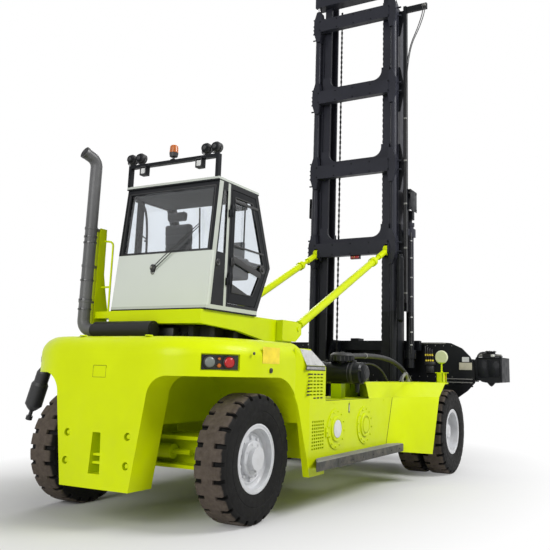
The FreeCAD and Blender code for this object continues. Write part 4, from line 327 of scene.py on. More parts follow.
GREEN = (0.6, 0.715, 0.0)
CAP_GREEN = (0.45, 0.6, 0.0)
STEP_DARK = (0.055, 0.056, 0.052)
MATERIALS = {
    "green_paint": paint("green_paint", GREEN, 0.36, 0.05, spread=0.06, dirt=0.05),
    "black_paint": paint("black_paint", (0.004, 0.005, 0.007), 0.42, 0.03, spread=0.35),
    "white_paint": paint("white_paint", (0.6, 0.635, 0.59), 0.35, 0.2, spread=0.02),
    "dark_metal": paint("dark_metal", (0.014, 0.014, 0.015), 0.6, 0.0, spread=0.4, dirt=0.2),
    "wheel_paint": paint("wheel_paint", (0.62, 0.63, 0.65), 0.38, 0.3, spread=0.08, dirt=0.3),
    "tyre": rubber("tyre_rubber"),
    "glass": glass("cab_glass", (0.84, 0.87, 0.9)),
    "seat_fabric": woven("seat_fabric", (0.008, 0.008, 0.0088)),
    "plastic": plastic("plastic", (0.014, 0.014, 0.015), 0.5),
    "amber": plastic("amber", (0.45, 0.11, 0.006), 0.25),
    "exhaust_steel": metal("exhaust_steel", (0.115, 0.115, 0.115), 0.42, (1, 1, 0.2)),
    "rod_chrome": metal("rod_chrome", (0.75, 0.75, 0.76), 0.12),
    "lens_clear": plastic("lens_clear", (0.62, 0.63, 0.62), 0.12),
    "lens_smoke": plastic("lens_smoke", (0.16, 0.18, 0.16), 0.12),
    "lens_red": plastic("lens_red", (0.42, 0.006, 0.006), 0.14),
    "label_yellow": plastic("label_yellow", (0.86, 0.68, 0.02), 0.35),
    "label_white": plastic("label_white", (0.66, 0.67, 0.66), 0.35),
    "step_grey": paint("step_grey", (0.27, 0.27, 0.255), 0.55, 0.0, spread=0.25, dirt=0.5),
    "step_dark": paint("step_dark", STEP_DARK, 0.55, 0.0, spread=0.3, dirt=0.5),
    "chequer": chequer("chequer", (0.66, 0.665, 0.65)),
    "lining": plastic("lining", (0.045, 0.048, 0.052), 0.75),
    "beige": plastic("beige", (0.55, 0.52, 0.4), 0.4),
}
# The record's slot for each material that isn't a slot itself, unless a piece says otherwise.
SLOT_OF = {
    "lens_clear": "glass", "lens_smoke": "glass", "lens_red": "glass",
    "label_yellow": "white_paint", "label_white": "white_paint", "beige": "white_paint",
    "step_grey": "rod_chrome", "chequer": "rod_chrome", "step_dark": "dark_metal", "lining": "plastic",
}


def dress(node, material):
    obj = NODES[node]
    obj.data.materials.clear()
    obj.data.materials.append(material)


for node in NODES:
    dress(node, MATERIALS[SLOTS[node]])

# ---------------------------------------------------------------- mesh helpers


def new_object(name, bm):
    mesh = bpy.data.meshes.new(name)
    bm.to_mesh(mesh)
    bm.free()
    made = bpy.data.objects.new(name, mesh)
    bpy.context.scene.collection.objects.link(made)
    return made


class Piece:
    """A named mesh, filled in a with block and then put on its body."""

    def __init__(self, name, material, smooth, body="chassis", slot=None, replaces=()):
        self.name = name
        self.material = material
        self.smooth = smooth
        self.body = body
        self.slot = slot
        self.replaces = replaces

    def __enter__(self):
        self.bm = bmesh.new()
        return self.bm

    def __exit__(self, error, *rest):
        if error:
            return
        bmesh.ops.recalc_face_normals(self.bm, faces=self.bm.faces)
        piece = new_object(self.name, self.bm)
        piece.data.materials.append(MATERIALS.get(self.material, self.material))
        if self.smooth:
            for face in piece.data.polygons:
                face.use_smooth = True
            piece.data.set_sharp_from_angle(angle=math.radians(self.smooth))
        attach(piece, self.body)
        self.slot or SLOT_OF.get(self.material, self.material)
        if self.replaces:
            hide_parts(*self.replaces)


def frame_of(axis):
    """Two cross directions and the unit vector of an axis."""
    along = Vector(axis).normalized()
    side = along.orthogonal().normalized()
    return side, along.cross(side), along


def ring_of(centre, axis, radius, count, start=0.0):
    """Evenly spaced points on a circle."""
    side, top, _ = frame_of(axis)
    for k in range(count):
        angle = 2 * math.pi * k / count + start
        yield Vector(centre) + side * radius * math.cos(angle) + top * radius * math.sin(angle)


def skin(bm, low, high):
    """Add faces between two rings of vertices; a ring of one vertex is a tip."""
    count = max(len(low), len(high))
    for k in range(count):
        n = (k + 1) % count
        if len(low) == 1:
            bm.faces.new((low[0], high[k], high[n]))
        elif len(high) == 1:
            bm.faces.new((low[k], low[n], high[0]))
        else:
            bm.faces.new((low[k], low[n], high[n], high[k]))


def loft(bm, rings):
    """Add a closed form through rings of points."""
    rings = [[bm.verts.new(p) for p in ring] for ring in rings]
    for low, high in zip(rings, rings[1:]):
        skin(bm, low, high)
    bm.faces.new(rings[0][::-1])
    bm.faces.new(rings[-1])


def lathe(bm, profile, centre, axis, segments=48, closed=False):
    """Add a turned form: profile is a list of (distance along the axis, radius)."""
    along = Vector(axis).normalized()
    rings = []
    for reach, radius in profile:
        count = segments if radius > 1e-6 else 1
        spots = ring_of(Vector(centre) + along * reach, axis, radius, count)
        rings.append([bm.verts.new(p) for p in spots])
    for low, high in zip(rings, rings[1:] + rings[:1] if closed else rings[1:]):
        skin(bm, low, high)


def stud(bm, place, axis, radius, height, segments, rise=0.004, inset=0.004):
    """Add a round button with a chamfered rim."""
    top = height + rise
    lathe(bm, [(0, radius), (height, radius), (top, radius - inset), (top, 0)], place, axis, segments)


def band(bm, place, axis, half, inner, outer, segments):
    """Add a clamp band, 2 * half wide."""
    lathe(bm, [(-half, inner), (-half, outer), (half, outer), (half, inner)], place, axis, segments)


def hex_bolt(bm, place, axis, size=0.012, washer=True):
    """Add a hexagon head, with or without a washer, that points along axis from a surface."""
    if washer:
        lathe(bm, [(0, 0), (0, size * 1.35), (size * 0.25, size * 1.35), (size * 0.25, 0)], place, axis, 14)
    top = size * 1.05
    lathe(bm, [(size * 0.2, size), (size * 0.85, size), (top, size * 0.82), (top, 0)], place, axis, 6)


def bevel(bm, edges, offset, steps):
    bmesh.ops.bevel(bm, geom=list(edges), offset=offset, segments=steps, affect="EDGES", profile=0.5)


def block(bm, corner, other, edge=0.004, steps=2, turn=None):
    """Add a box with rounded edges between two opposite corners, turned about its middle."""
    low, high = Vector(map(min, corner, other)), Vector(map(max, corner, other))
    size = high - low
    matrix = Matrix.Translation((low + high) / 2)
    if turn is not None:
        matrix = matrix @ turn
    verts = bmesh.ops.create_cube(bm, size=1.0)["verts"]
    for vert in verts:
        vert.co = matrix @ Vector((vert.co.x * size.x, vert.co.y * size.y, vert.co.z * size.z))
    bevel(bm, {e for v in verts for e in v.link_edges}, min(edge, 0.45 * min(size)), steps)


def slab(bm, outline, direction, edge=0.0):
    """Add a plate: outline points pushed along direction."""
    low = [bm.verts.new(Vector(p)) for p in outline]
    high = [bm.verts.new(Vector(p) + Vector(direction)) for p in outline]
    ends = [bm.faces.new(low[::-1]), bm.faces.new(high)]
    skin(bm, low, high)
    if edge:
        bevel(bm, {e for f in ends for e in f.edges}, edge, 2)


def smooth_line(points, rounds):
    """Chaikin-smoothed copy of a line that keeps its ends."""
    line = [Vector(p) for p in points]
    for _ in range(rounds):
        fresh = [line[0]]
        for a, b in zip(line, line[1:]):
            fresh += [a * 0.75 + b * 0.25, a * 0.25 + b * 0.75]
        line = fresh + [line[-1]]
    return line


def tube(bm, points, radius, segments=12, rounds=3):
    """Add a pipe or hose swept along a smoothed line."""
    line = smooth_line(points, rounds)
    side = (line[1] - line[0]).normalized().orthogonal().normalized()
    rings = []
    for i, here in enumerate(line):
        ahead = (line[min(len(line) - 1, i + 1)] - line[max(0, i - 1)]).normalized()
        side = (side - ahead * side.dot(ahead)).normalized()
        top = ahead.cross(side)
        angles = [2 * math.pi * k / segments for k in range(segments)]
        rings.append([here + side * radius * math.cos(a) + top * radius * math.sin(a) for a in angles])
    loft(bm, rings)


# ---------------------------------------------------------------- tyres

TYRE_R = 0.65
REAR_AXLE, FRONT_AXLE = 0.0, 4.95  # x
NOTCHES = 24  # in each shoulder
NOTCH_HALF = 0.023  # half a notch's width at the tread
NOTCH_IN, NOTCH_RUN = 0.068, 0.06  # inner end from the tyre's middle, and length of the floor's slope
NOTCH_FLOOR, NOTCH_RISE = 0.594, 0.02  # radius of the floor, and what it gains at the inner end
# Half section from the bead over the sidewall to the tread: (distance from the middle, radius).
HALF_SECTION = [
    (0.15, 0.342), (0.156, 0.35), (0.16, 0.362), (0.167, 0.378), (0.1725, 0.4), (0.1765, 0.428),
                (0.179, 0.452),
    (0.1795, 0.462), (0.177, 0.466), (0.177, 0.472), (0.18, 0.476), (0.18, 0.5), (0.1795, 0.53),
    (0.1785, 0.556), (0.176, 0.572), (0.1735, 0.58), (0.1745, 0.588), (0.171, 0.606), (0.167, 0.614),
    (0.16, 0.628), (0.153, 0.638), (0.144, 0.645), (0.13, 0.648), (0.105, 0.6492), (0.074, 0.6497),
    (0.062, 0.6498), (0.03, 0.65)]


def tyre(name, axle, body, node):
    """Solid tyre: smooth tread with a deep notch every 15 degrees in both shoulders."""
    profile = [(-a, r) for a, r in HALF_SECTION] + [(0.0, TYRE_R)] + HALF_SECTION[::-1]
    pitch = 2 * math.pi / NOTCHES
    notch = NOTCH_HALF / TYRE_R
    half_marks = [0.01, notch - 0.004, notch + 0.003, notch + 0.009, 0.3 * pitch]
    marks = [-0.5 * pitch] + [-m for m in reversed(half_marks)] + half_marks
    with Piece(name, rubber(name + "_rubber", axle), 28.0, body, "tyre", [node]) as bm:
        rings = []
        for angle, inside in [(k * pitch + m, abs(m) < notch) for k in range(NOTCHES) for m in marks]:
            ring = []
            for a, r in profile:
                if inside and abs(a) > NOTCH_IN:
                    r = min(r, NOTCH_FLOOR + NOTCH_RISE * max(0.0, 1 - (abs(a) - NOTCH_IN) / NOTCH_RUN))
                ring.append(bm.verts.new(axle + Vector((r * math.sin(angle), a, -r * math.cos(angle)))))
            rings.append(ring)
        for low, high in zip(rings, rings[1:] + rings[:1]):
            skin(bm, low, high)


for side in SIDES:
    for name, node, wheel, x, y in (("rear_tyre", "rear", "rear", REAR_AXLE, 1.123),
                                    ("front_outer", "front_outer", "front", FRONT_AXLE, 1.684),
                                    ("front_inner", "front_inner", "front", FRONT_AXLE, 1.279)):
        tyre("%s_tread_%s" % (name, side.name), side.at(x, y, TYRE_R),
             "%s_wheel_%s" % (wheel, side.name), "%s_tyre_%s" % (node, side.name))

# ---------------------------------------------------------------- wheels


def wheel_trim(name, x, disc, front, body, out):
    """Dish, nut ring and hub; disc and front say how far out the disc and the rim's edge are."""
    depth = front - disc
    face = at(x, 0, TYRE_R) + out * disc
    with Piece(name, "wheel_paint", 32.0, body) as bm:
        lathe(bm, [(0.0, 0.318), (depth * 0.55, 0.3185), (depth * 0.6, 0.312), (0.022, 0.29),
                   (0.014, 0.276),
                   (0.012, 0.262), (0.02, 0.252), (0.022, 0.24), (0.012, 0.23), (0.012, 0.0)], face, out,
              64)
        lathe(bm, [(0.01, 0.178), (0.052, 0.176), (0.06, 0.168), (0.06, 0.118), (0.068, 0.112),
                   (0.098, 0.106),
                   (0.106, 0.096), (0.108, 0.06), (0.112, 0.056), (0.112, 0.0)], face, out, 48)
        for place in ring_of(face + out * 0.012, out, 0.208, 10, 0.16):
            hex_bolt(bm, place, out, 0.019)
        for place in ring_of(face + out * 0.06, out, 0.146, 8, 0.3):
            hex_bolt(bm, place, out, 0.009, False)
        lathe(bm, [(depth + 0.002, 0.346), (depth + 0.005, 0.34), (depth + 0.005, 0.326),
                   (depth - 0.012, 0.3195)],
              face, out, 64)


for side in SIDES:
    wheel_trim("rear_hub_trim_" + side.name, REAR_AXLE, 1.183, 1.277, "rear_wheel_" + side.name, side.out)
    wheel_trim("front_hub_trim_" + side.name, FRONT_AXLE, 1.674, 1.838, "front_wheel_" + side.name,
               side.out)

# ---------------------------------------------------------------- rear body


def tail_lamps(side):
    """Lamp row in the recess of a rounded rear corner."""
    start = Vector((-0.744, -1.06, 1.522))
    along = Vector((0.324, -0.23, 0.0)).normalized()
    out = side.way(along.y, -along.x, 0.0)

    def spot(reach, height, proud=0.012):
        p = start + along * reach
        return side.at(p.x, p.y, p.z + height) + out * proud

    with Piece("tail_plate_" + side.name, "plastic", 30.0) as bm:
        slab(bm, [spot(0.012, 0.012, 0), spot(0.385, 0.012, 0), spot(0.385, 0.151, 0),
                  spot(0.012, 0.151, 0)],
             out * 0.012)
    radius = 0.056
    for kind, lens, reach in (("clear", "lens_smoke", 0.085), ("red", "lens_red", 0.285)):
        with Piece("tail_bezel_%s_%s" % (kind, side.name), "plastic", 40.0) as bm:
            wide = radius + 0.008
            lathe(bm, [(0.0, wide), (0.03, wide), (0.036, radius + 0.002), (0.03, radius - 0.002)],
                  spot(reach, 0.082), out, 32)
        with Piece("tail_lens_%s_%s" % (kind, side.name), lens, 50.0) as bm:
            lathe(bm, [(0.0, radius), (0.03, radius - 0.002), (0.04, radius * 0.72), (0.045, radius * 0.3),
                       (0.046, 0.0)],
                  spot(reach, 0.082), out, 32)
    with Piece("tail_marker_" + side.name, "amber", 40.0) as bm:
        stud(bm, spot(0.185, 0.05), out, 0.02, 0.018, 20, 0.006, 0.006)
        stud(bm, spot(0.185, 0.115), out, 0.014, 0.018, 20)


# These pieces' names are swapped: y below is negative, so the row named right is on the left.
for side in SIDES:
    tail_lamps(side)

with Piece("flank_label_right", "label_yellow", 20.0) as bm:
    corners = ((-0.135, 1.605), (0.205, 1.605), (0.205, 1.775), (-0.135, 1.775))
    slab(bm, [at(x, -1.39, z) for x, z in corners], RIGHT * 0.002, 0.0008)
with Piece("flank_plug_right", "plastic", 35.0) as bm:
    lathe(bm, [(0, 0.026), (0.012, 0.026), (0.016, 0.021), (0.016, 0.012), (0.01, 0.01), (0.01, 0)],
          at(0.03, -1.39, 1.535), RIGHT, 24)
    stud(bm, at(-0.3, -1.385, 1.7), RIGHT, 0.016, 0.01, 18, 0.003)

BOX_Y = 1.45  # outer face of the side boxes
COVERS_X, COVER_Z = (1.48, 2.33), 0.87  # round covers
# corners of the upper grille's slots
SLOT_X, SLOT_Z = (0.8, 0.885, 0.97, 1.055), [1.27 + 0.038 * k for k in range(6)]
STEP_LOW, STEP_TOP = 0.47, 0.57
STEP_IN, STEP_OUT = 1.4525, 1.6195  # y of the step's edges
STEP_TIP, STEP_ROOT = 0.672, 0.98  # x of its slanted rear end at the outer and the inner edge


def post_y(z, proud):
    """Outer face of the leaning upper part of the flank post."""
    return BOX_Y - (z - 1.6) * 0.35 + proud


def chequer_plate(side):
    with Piece("chequer_plate_" + side.name, "chequer", 30.0) as bm:
        corners = ((0.712, 1.604), (1.165, 1.604), (0.925, 1.772), (0.65, 1.784))
        side.slab(bm, [(x, post_y(z, 0.001), z) for x, z in corners], (0, 0.005, 0.0018), 0.001)
        for x, z in ((0.74, 1.62), (1.1, 1.62), (0.92, 1.75), (0.69, 1.765), (0.92, 1.62)):
            hex_bolt(bm, side.at(x, post_y(z, 0.004), z), side.way(0, 1, 0.35), 0.008)


def grille_backs(side):
    """Dark plates behind the cut slots of the upper and the lower grille."""
    lower_x, lower_z = [0.868 + 0.052 * k for k in range(6)], [0.668 + 0.037 * k for k in range(9)]
    with Piece("grille_backs_" + side.name, "dark_metal", 0) as bm:
        for xs, zs, wide, high in ((SLOT_X, SLOT_Z, 0.06, 0.0144), (lower_x, lower_z, 0.032, 0.0204)):
            for x, z in [(x + 0.001, z + 0.0008) for x in xs for z in zs]:
                side.block(bm, (x, 1.4235, z), (x + wide, 1.4265, z + high), 0.0005, 1)


def cover_trim(side):
    """Latch beside the lower grille, bolts and rings of the round covers, and the discs on them."""
    with Piece("side_cover_trim_" + side.name, "green_paint", 32.0) as bm:
        side.block(bm, (1.205, BOX_Y, 0.79), (1.245, BOX_Y + 0.016, 0.9))
        stud(bm, side.at(1.225, BOX_Y, 0.845), side.out, 0.014, 0.022, 16)
        for x in COVERS_X:
            lid = side.at(x, BOX_Y + 0.012, COVER_Z)
            for place in ring_of(lid, side.out, 0.205, 12, 0.13):
                hex_bolt(bm, place, side.out, 0.01)
            lathe(bm, [(0.0, 0.152), (0.01, 0.15), (0.016, 0.142), (0.017, 0.118), (0.012, 0.114),
                       (0.012, 0.0)],
                  lid, side.out, 48)
            lathe(bm, [(0.0, 0.2365), (0.01, 0.235), (0.0125, 0.231), (0.0125, 0.226)],
                  side.at(x, BOX_Y, COVER_Z), side.out, 56)
    for x, name, material, radius in ((COVERS_X[0], "cover_blank_", "label_white", 0.104),
                                      (COVERS_X[1], "cover_blank_b_", "green_paint", 0.096)):
        with Piece(name + side.name, material, 30.0) as bm:
            lathe(bm, [(0.0, radius), (0.0045, radius - 0.001), (0.005, radius - 0.004), (0.005, 0.0)],
                  side.at(x, BOX_Y + 0.0245, COVER_Z), side.out, 40)


def sight_gauge(side):
    with Piece("sight_gauge_" + side.name, "plastic", 30.0) as bm:
        side.block(bm, (1.838, 1.449, 1.043), (1.872, 1.432, 1.157), 0.003)
    with Piece("sight_glass_" + side.name, "label_white", 30.0, slot="glass") as bm:
        lathe(bm, [(0, 0), (0, 0.006), (0.08, 0.006), (0.08, 0)], side.at(1.855, 1.4505, 1.06), UP, 14)


def step_grating(side):
    """Bars along and across the step, and its bolted face."""
    with Piece("step_grating_" + side.name, "step_grey", 0, slot="dark_metal") as bm:
        for k in range(5):
            y = 1.463 + 0.0355 * k
            side.block(bm, (1.215, y, STEP_TOP), (3.3, y + 0.013, 0.577), 0.001, 1)
        for k in range(54):
            x = 1.222 + 0.0389 * k
            side.block(bm, (x, 1.458, STEP_TOP), (x + 0.01, 1.616, 0.5755), 0.001, 1)
    with Piece("step_face_" + side.name, "step_dark", 30.0) as bm:
        side.block(bm, (1.205, STEP_OUT, 0.478), (3.308, STEP_OUT + 0.004, 0.566), 0.0015)
        for k in range(7):
            hex_bolt(bm, side.at(1.3 + 0.31 * k, STEP_OUT + 0.004, 0.52), side.out, 0.008)


for side in SIDES:
    chequer_plate(side)
    grille_backs(side)
    cover_trim(side)
    sight_gauge(side)
    step_grating(side)

with Piece("rear_body_trim", "green_paint", 32.0) as bm:
    for y in (-0.4, 0.4):
        for z in (0.602, 0.875):
            lathe(bm, [(0, 0.052), (0.0005, 0.052), (0.001, 0.048), (0.001, 0.039)], at(-0.9595, y, z),
                  BACK, 28)
            stud(bm, at(-0.925, y, z), BACK, 0.026, 0.014, 6)
    for x, y in ((-0.8, 0.45), (-0.8, -0.45), (-0.55, 0.0), (0.25, 1.1), (0.25, -1.1)):
        lathe(bm, [(0, 0.04), (0.008, 0.04), (0.012, 0.034), (0.012, 0.02), (0.006, 0.018), (0.006, 0)],
              at(x, y, 1.85), UP, 24)
with Piece("tail_hatch_joint", "dark_metal", 0) as bm:
    for y0, y1, z0, z1 in ((-0.06, 0.115, 1.43, 1.4335), (-0.06, 0.115, 1.5465, 1.55),
                           (-0.06, -0.0565, 1.43, 1.55), (0.1115, 0.115, 1.43, 1.55)):
        block(bm, at(-0.9606, y0, z0), at(-0.959, y1, z1), 0.0004, 1)

# ---------------------------------------------------------------- cab

REAR_X, REAR_Z, REAR_SLOPE = -0.19, 2.18, 0.15 / 1.51  # foot of the leaning rear wall, and its lean


def cab_rear_x(z, proud=0.0):
    """Outer face of the cab's leaning rear wall."""
    return REAR_X + (z - REAR_Z) * REAR_SLOPE - proud


def zoned(name, colour, rough, coat, zones, spread=0.1, dirt=0.0):
    """Paint in one colour with zones in others.

    A zone is (colour, [(measure, low, high), ...]) in the vehicle frame; side is the distance
    from the middle plane and lean the distance ahead of the cab's rear wall.
    """
    n = Nodes(paint(name, colour, rough, coat, spread, dirt))
    x = n.math("SUBTRACT", n.axes()["X"], SHIFT.x)
    y = n.math("SUBTRACT", n.axes()["Y"], SHIFT.y)
    z = n.axes()["Z"]
    wall = n.math("ADD", n.math("MULTIPLY", z, REAR_SLOPE), REAR_X - REAR_Z * REAR_SLOPE)
    measures = {"x": x, "y": y, "z": z, "side": n.math("ABSOLUTE", y), "lean": n.math("SUBTRACT", x, wall)}
    tone = n.shader.inputs["Base Color"].links[0].from_socket
    for zone_colour, limits in zones:
        mask = 1.0
        for measure, low, high in limits:
            inside = n.math("MULTIPLY", n.math("GREATER_THAN", measures[measure], low),
                            n.math("LESS_THAN", measures[measure], high))
            mask = n.math("MULTIPLY", mask, inside)
        tone = n.mix(mask, tone, n.ramp(n.noise(2.5, 5.0), 0.3, 0.7, shade(zone_colour, 0.95), zone_colour))
    n.colour(tone)
    return n.material


BLACK = (0.009, 0.01, 0.012)
WHITE = (0.5, 0.53, 0.485)
SKIN = ("side", 0.6795, 0.7)  # outer face of the side walls
dress("cab_frame", zoned("cab_frame_paint", BLACK, 0.35, 0.1, [
    (WHITE, [SKIN, ("lean", -0.2, 0.075)]),
    (WHITE, [SKIN, ("x", 0.128, 0.176)]),
    (WHITE, [SKIN, ("z", 2.2, 2.232)]),
]))
dress("cab_floor", zoned("cab_floor_paint", BLACK, 0.6, 0.0, [
    (WHITE, [SKIN, ("z", 2.186, 2.3)]),
    (WHITE, [("lean", -0.2, 0.006), ("z", 2.19, 2.3)]),
]))
dress("cab_roof", zoned("cab_roof_paint", WHITE, 0.35, 0.2, [(BLACK, [("z", 3.64, 3.664)])], 0.03))

with Piece("rear_glass_seal", "plastic", 30.0) as bm:
    for y0, y1, z0, z1 in ((-0.64, 0.64, 2.832, 2.846), (-0.64, 0.64, 3.588, 3.6),
                           (-0.64, -0.628, 2.832, 3.6), (0.628, 0.64, 2.832, 3.6)):
        low, high = cab_rear_x(z0), cab_rear_x(z1)
        slab(bm, places((low, y0, z0), (low, y1, z0), (high, y1, z1), (high, y0, z1)), BACK * 0.004, 0.001)

# rear wiper: motor cover, twin arms, blade and water pipe
PIVOT = at(cab_rear_x(2.665), 0.123, 2.665)
SHAFT = Vector((-1.0, 0.0, 0.1))
with Piece("rear_wiper", "plastic", 40.0) as bm:
    lathe(bm, [(0.0, 0.04), (0.022, 0.038), (0.03, 0.028), (0.03, 0.012), (0.04, 0.01), (0.04, 0.0)], PIVOT,
          SHAFT, 24)
    tip = at(cab_rear_x(3.147, 0.03), -0.485, 3.147)
    for drop in (0.0, 0.045):
        start, end = PIVOT + Vector((-0.03, -0.01, -drop)), tip + DOWN * drop * 0.7
        near, far = start.lerp(end, 0.3) + BACK * 0.012, start.lerp(end, 0.7) + BACK * 0.008
        tube(bm, [start, near, far, end], 0.0055, 8, 2)
    top, foot = at(cab_rear_x(3.33, 0.016), -0.452, 3.33), at(cab_rear_x(2.85, 0.016), -0.515, 2.85)
    tube(bm, [top, top.lerp(foot, 0.5), foot], 0.009, 8, 0)
    tube(bm, [top.lerp(foot, 0.3) + BACK * 0.012, tip, top.lerp(foot, 0.62) + BACK * 0.012], 0.006, 8, 1)
    block(bm, PIVOT + Vector((-0.02, -0.03, -0.055)), PIVOT + Vector((0.004, 0.03, 0.0)), 0.006)
with Piece("rear_wiper_cap", "step_grey", 40.0) as bm:
    stud(bm, PIVOT + BACK * 0.036, SHAFT, 0.014, 0.012, 16)
    pipe = ((-0.016, 0.02, -0.05), (-0.022, 0.005, -0.075), (-0.012, -0.02, -0.07))
    tube(bm, [PIVOT + Vector(p) for p in pipe], 0.008, 8, 2)

DOOR_Y = -0.6805  # outer face of the door


def door_strip(bm, points, width, proud=0.01):
    """Flat bar along a line (x, z) on the door's outer face."""
    for (x0, z0), (x1, z1) in zip(points, points[1:]):
        run = Vector((x1 - x0, z1 - z0)).normalized() * width / 2
        quad = ((x0 - run.y, z0 + run.x), (x1 - run.y, z1 + run.x),
                (x1 + run.y, z1 - run.x), (x0 + run.y, z0 - run.x))
        slab(bm, [at(x, DOOR_Y + 0.004, z) for x, z in quad], RIGHT * (proud + 0.004), 0.0025)


with Piece("door_bars", "plastic", 30.0, "door") as bm:
    door_strip(bm, [(0.275, 3.47), (0.765, 3.47)], 0.03)
    door_strip(bm, [(0.485, 3.465), (0.485, 2.945)], 0.016)
    door_strip(bm, [(0.275, 2.945), (0.93, 2.935)], 0.022)
    door_strip(bm, [(0.27, 2.79), (0.88, 2.665)], 0.075)
    corner = ((0.272, 2.395), (0.272, 2.5), (0.64, 2.395))
    slab(bm, [at(x, DOOR_Y + 0.004, z) for x, z in corner], RIGHT * 0.012, 0.002)
    rim = [(0.283, 2.402), (0.283, 3.518), (0.652, 3.518), (0.948, 2.79), (0.716, 2.402), (0.283, 2.402)]
    door_strip(bm, rim, 0.012, 0.003)
with Piece("door_lock", "plastic", 40.0, "door") as bm:
    lathe(bm, [(0.0, 0.058), (0.012, 0.056), (0.016, 0.048), (0.012, 0.042), (0.012, 0.026), (0.026, 0.022),
               (0.028, 0.016), (0.028, 0.0)], at(0.905, DOOR_Y, 2.745), RIGHT, 32)
    block(bm, at(0.235, DOOR_Y - 0.014, 2.7), at(0.29, DOOR_Y, 2.8), 0.006)
    pull = ((0.012, 2.79), (0.034, 2.78), (0.034, 2.72), (0.012, 2.71))
    tube(bm, [at(0.262, DOOR_Y - proud, z) for proud, z in pull], 0.008, 10, 2)
with Piece("quarter_lock", "plastic", 40.0) as bm:
    lathe(bm, [(0.0, 0.04), (0.01, 0.039), (0.014, 0.032), (0.01, 0.026), (0.01, 0.014), (0.02, 0.012),
               (0.02, 0.0)],
          at(-0.015, -0.68, 2.708), RIGHT, 28)
HINGES_Z = (2.48, 3.27)
with Piece("hinge_leaves", "black_paint", 35.0) as bm:
    for z in HINGES_Z:
        block(bm, at(0.15, -0.706, z - 0.012), at(0.181, -0.68, z + 0.076))
        lathe(bm, [(0.0, 0.0175), (0.004, 0.019), (0.07, 0.019), (0.074, 0.0175), (0.074, 0.0)],
              at(0.195, -0.702, z - 0.002), UP, 20)
with Piece("door_hinge_leaves", "black_paint", 35.0, "door") as bm:
    for z in HINGES_Z:
        lathe(bm, [(0.0, 0.0), (0.0, 0.0185), (0.058, 0.0185), (0.062, 0.016), (0.062, 0.0)],
              at(0.195, -0.702, z + 0.072), UP, 20)
        block(bm, at(0.205, -0.7095, z + 0.076), at(0.262, -0.69, z + 0.126))

# inside the cab
with Piece("cab_grab_rail", "plastic", 40.0) as bm:
    rail = ((0.02, 3.53), (0.1, 3.53), (0.19, 3.48), (0.24, 3.3), (0.262, 2.96), (0.262, 2.6))
    tube(bm, [at(x, 0.6, z) for x, z in rail], 0.014, 10, 3)
    tube(bm, places((0.255, 0.6, 3.08), (0.255, 0.635, 3.08)), 0.012, 8, 0)
    tube(bm, places((0.05, 0.6, 3.2), (0.13, 0.6, 3.14), (0.24, 0.6, 3.1)), 0.008, 8, 2)
with Piece("cab_lining", "lining", 30.0) as bm:
    block(bm, at(0.06, -0.62, 3.56), at(0.7, 0.62, 3.646), 0.02, 3)
    block(bm, at(0.56, -0.6, 3.45), at(0.66, -0.44, 3.56), 0.01)
with Piece("cab_console", "lining", 35.0) as bm:
    block(bm, at(0.3, -0.6, 2.6), at(0.75, -0.34, 2.86), 0.03, 3)
    block(bm, at(0.64, -0.56, 2.86), at(0.7, -0.32, 3.06), 0.012)
    tube(bm, places((0.62, -0.4, 2.86), (0.6, -0.4, 3.02), (0.56, -0.4, 3.08)), 0.012, 8, 2)
    lathe(bm, [(0.0, 0.0), (0.01, 0.024), (0.05, 0.03), (0.085, 0.02), (0.09, 0.0)], at(0.56, -0.4, 3.05),
          UP, 16)
    for y in (-0.335, 0.262):
        block(bm, at(0.24, y, 2.7), at(0.56, y + 0.073, 2.76), 0.02, 3)
with Piece("wheel_boss", "plastic", 40.0) as bm:
    lathe(bm, [(-0.02, 0.0), (-0.02, 0.04), (0.006, 0.046), (0.014, 0.03), (0.016, 0.0)],
          at(0.735, 0.0, 2.872),
          Matrix.Rotation(math.radians(-25), 3, "Y") @ UP, 28)

# ---------------------------------------------------------------- seat

CLOTH_FRAMES = 20
PUFF = 0.016  # farthest that the cloth may swell


def puff(piece):
    """Blow a closed mesh up as cloth under pressure and keep the result."""
    bpy.context.view_layer.objects.active = piece
    remesh = piece.modifiers.new("remesh", "REMESH")
    remesh.mode = "VOXEL"
    remesh.voxel_size = 0.009
    bpy.ops.object.select_all(action="DESELECT")
    piece.select_set(True)
    bpy.ops.object.modifier_apply(modifier="remesh")
    start = [v.co.copy() for v in piece.data.vertices]
    cloth = piece.modifiers.new("cloth", "CLOTH")
    cloth.settings.use_pressure = True
    cloth.settings.uniform_pressure_force = 4.0
    cloth.settings.quality = 5
    cloth.settings.effector_weights.gravity = 0.0
    cloth.collision_settings.use_collision = False
    cloth.point_cache.frame_start = 1
    cloth.point_cache.frame_end = CLOTH_FRAMES
    for step in range(1, CLOTH_FRAMES + 1):
        bpy.context.scene.frame_set(step)
    bpy.ops.object.modifier_apply(modifier="cloth")
    bpy.context.scene.frame_set(1)
    for vert, before in zip(piece.data.vertices, start):
        move = vert.co - before
        if move.length > PUFF:
            vert.co = before + move.normalized() * PUFF


def groove(reach, lines):
    """How deep the sewn channels are at a place: 1 in the middle of a line."""
    return sum(math.exp(-((reach - line) / 0.008) ** 2) for line in lines)


def shape_base(co, limits, channels):
    """Crown, side bolsters and channels of the seat's base."""
    u, v = co.x / limits.x, co.y / limits.y
    if co.z > 0:
        co.z *= 1.0 - 0.2 * abs(v) ** 3 - 0.12 * max(0.0, -u) ** 3
        co.z += 0.01 * math.exp(-((abs(v) - 0.78) / 0.14) ** 2) - 0.006
        co.z -= 0.01 * groove(co.y, channels)


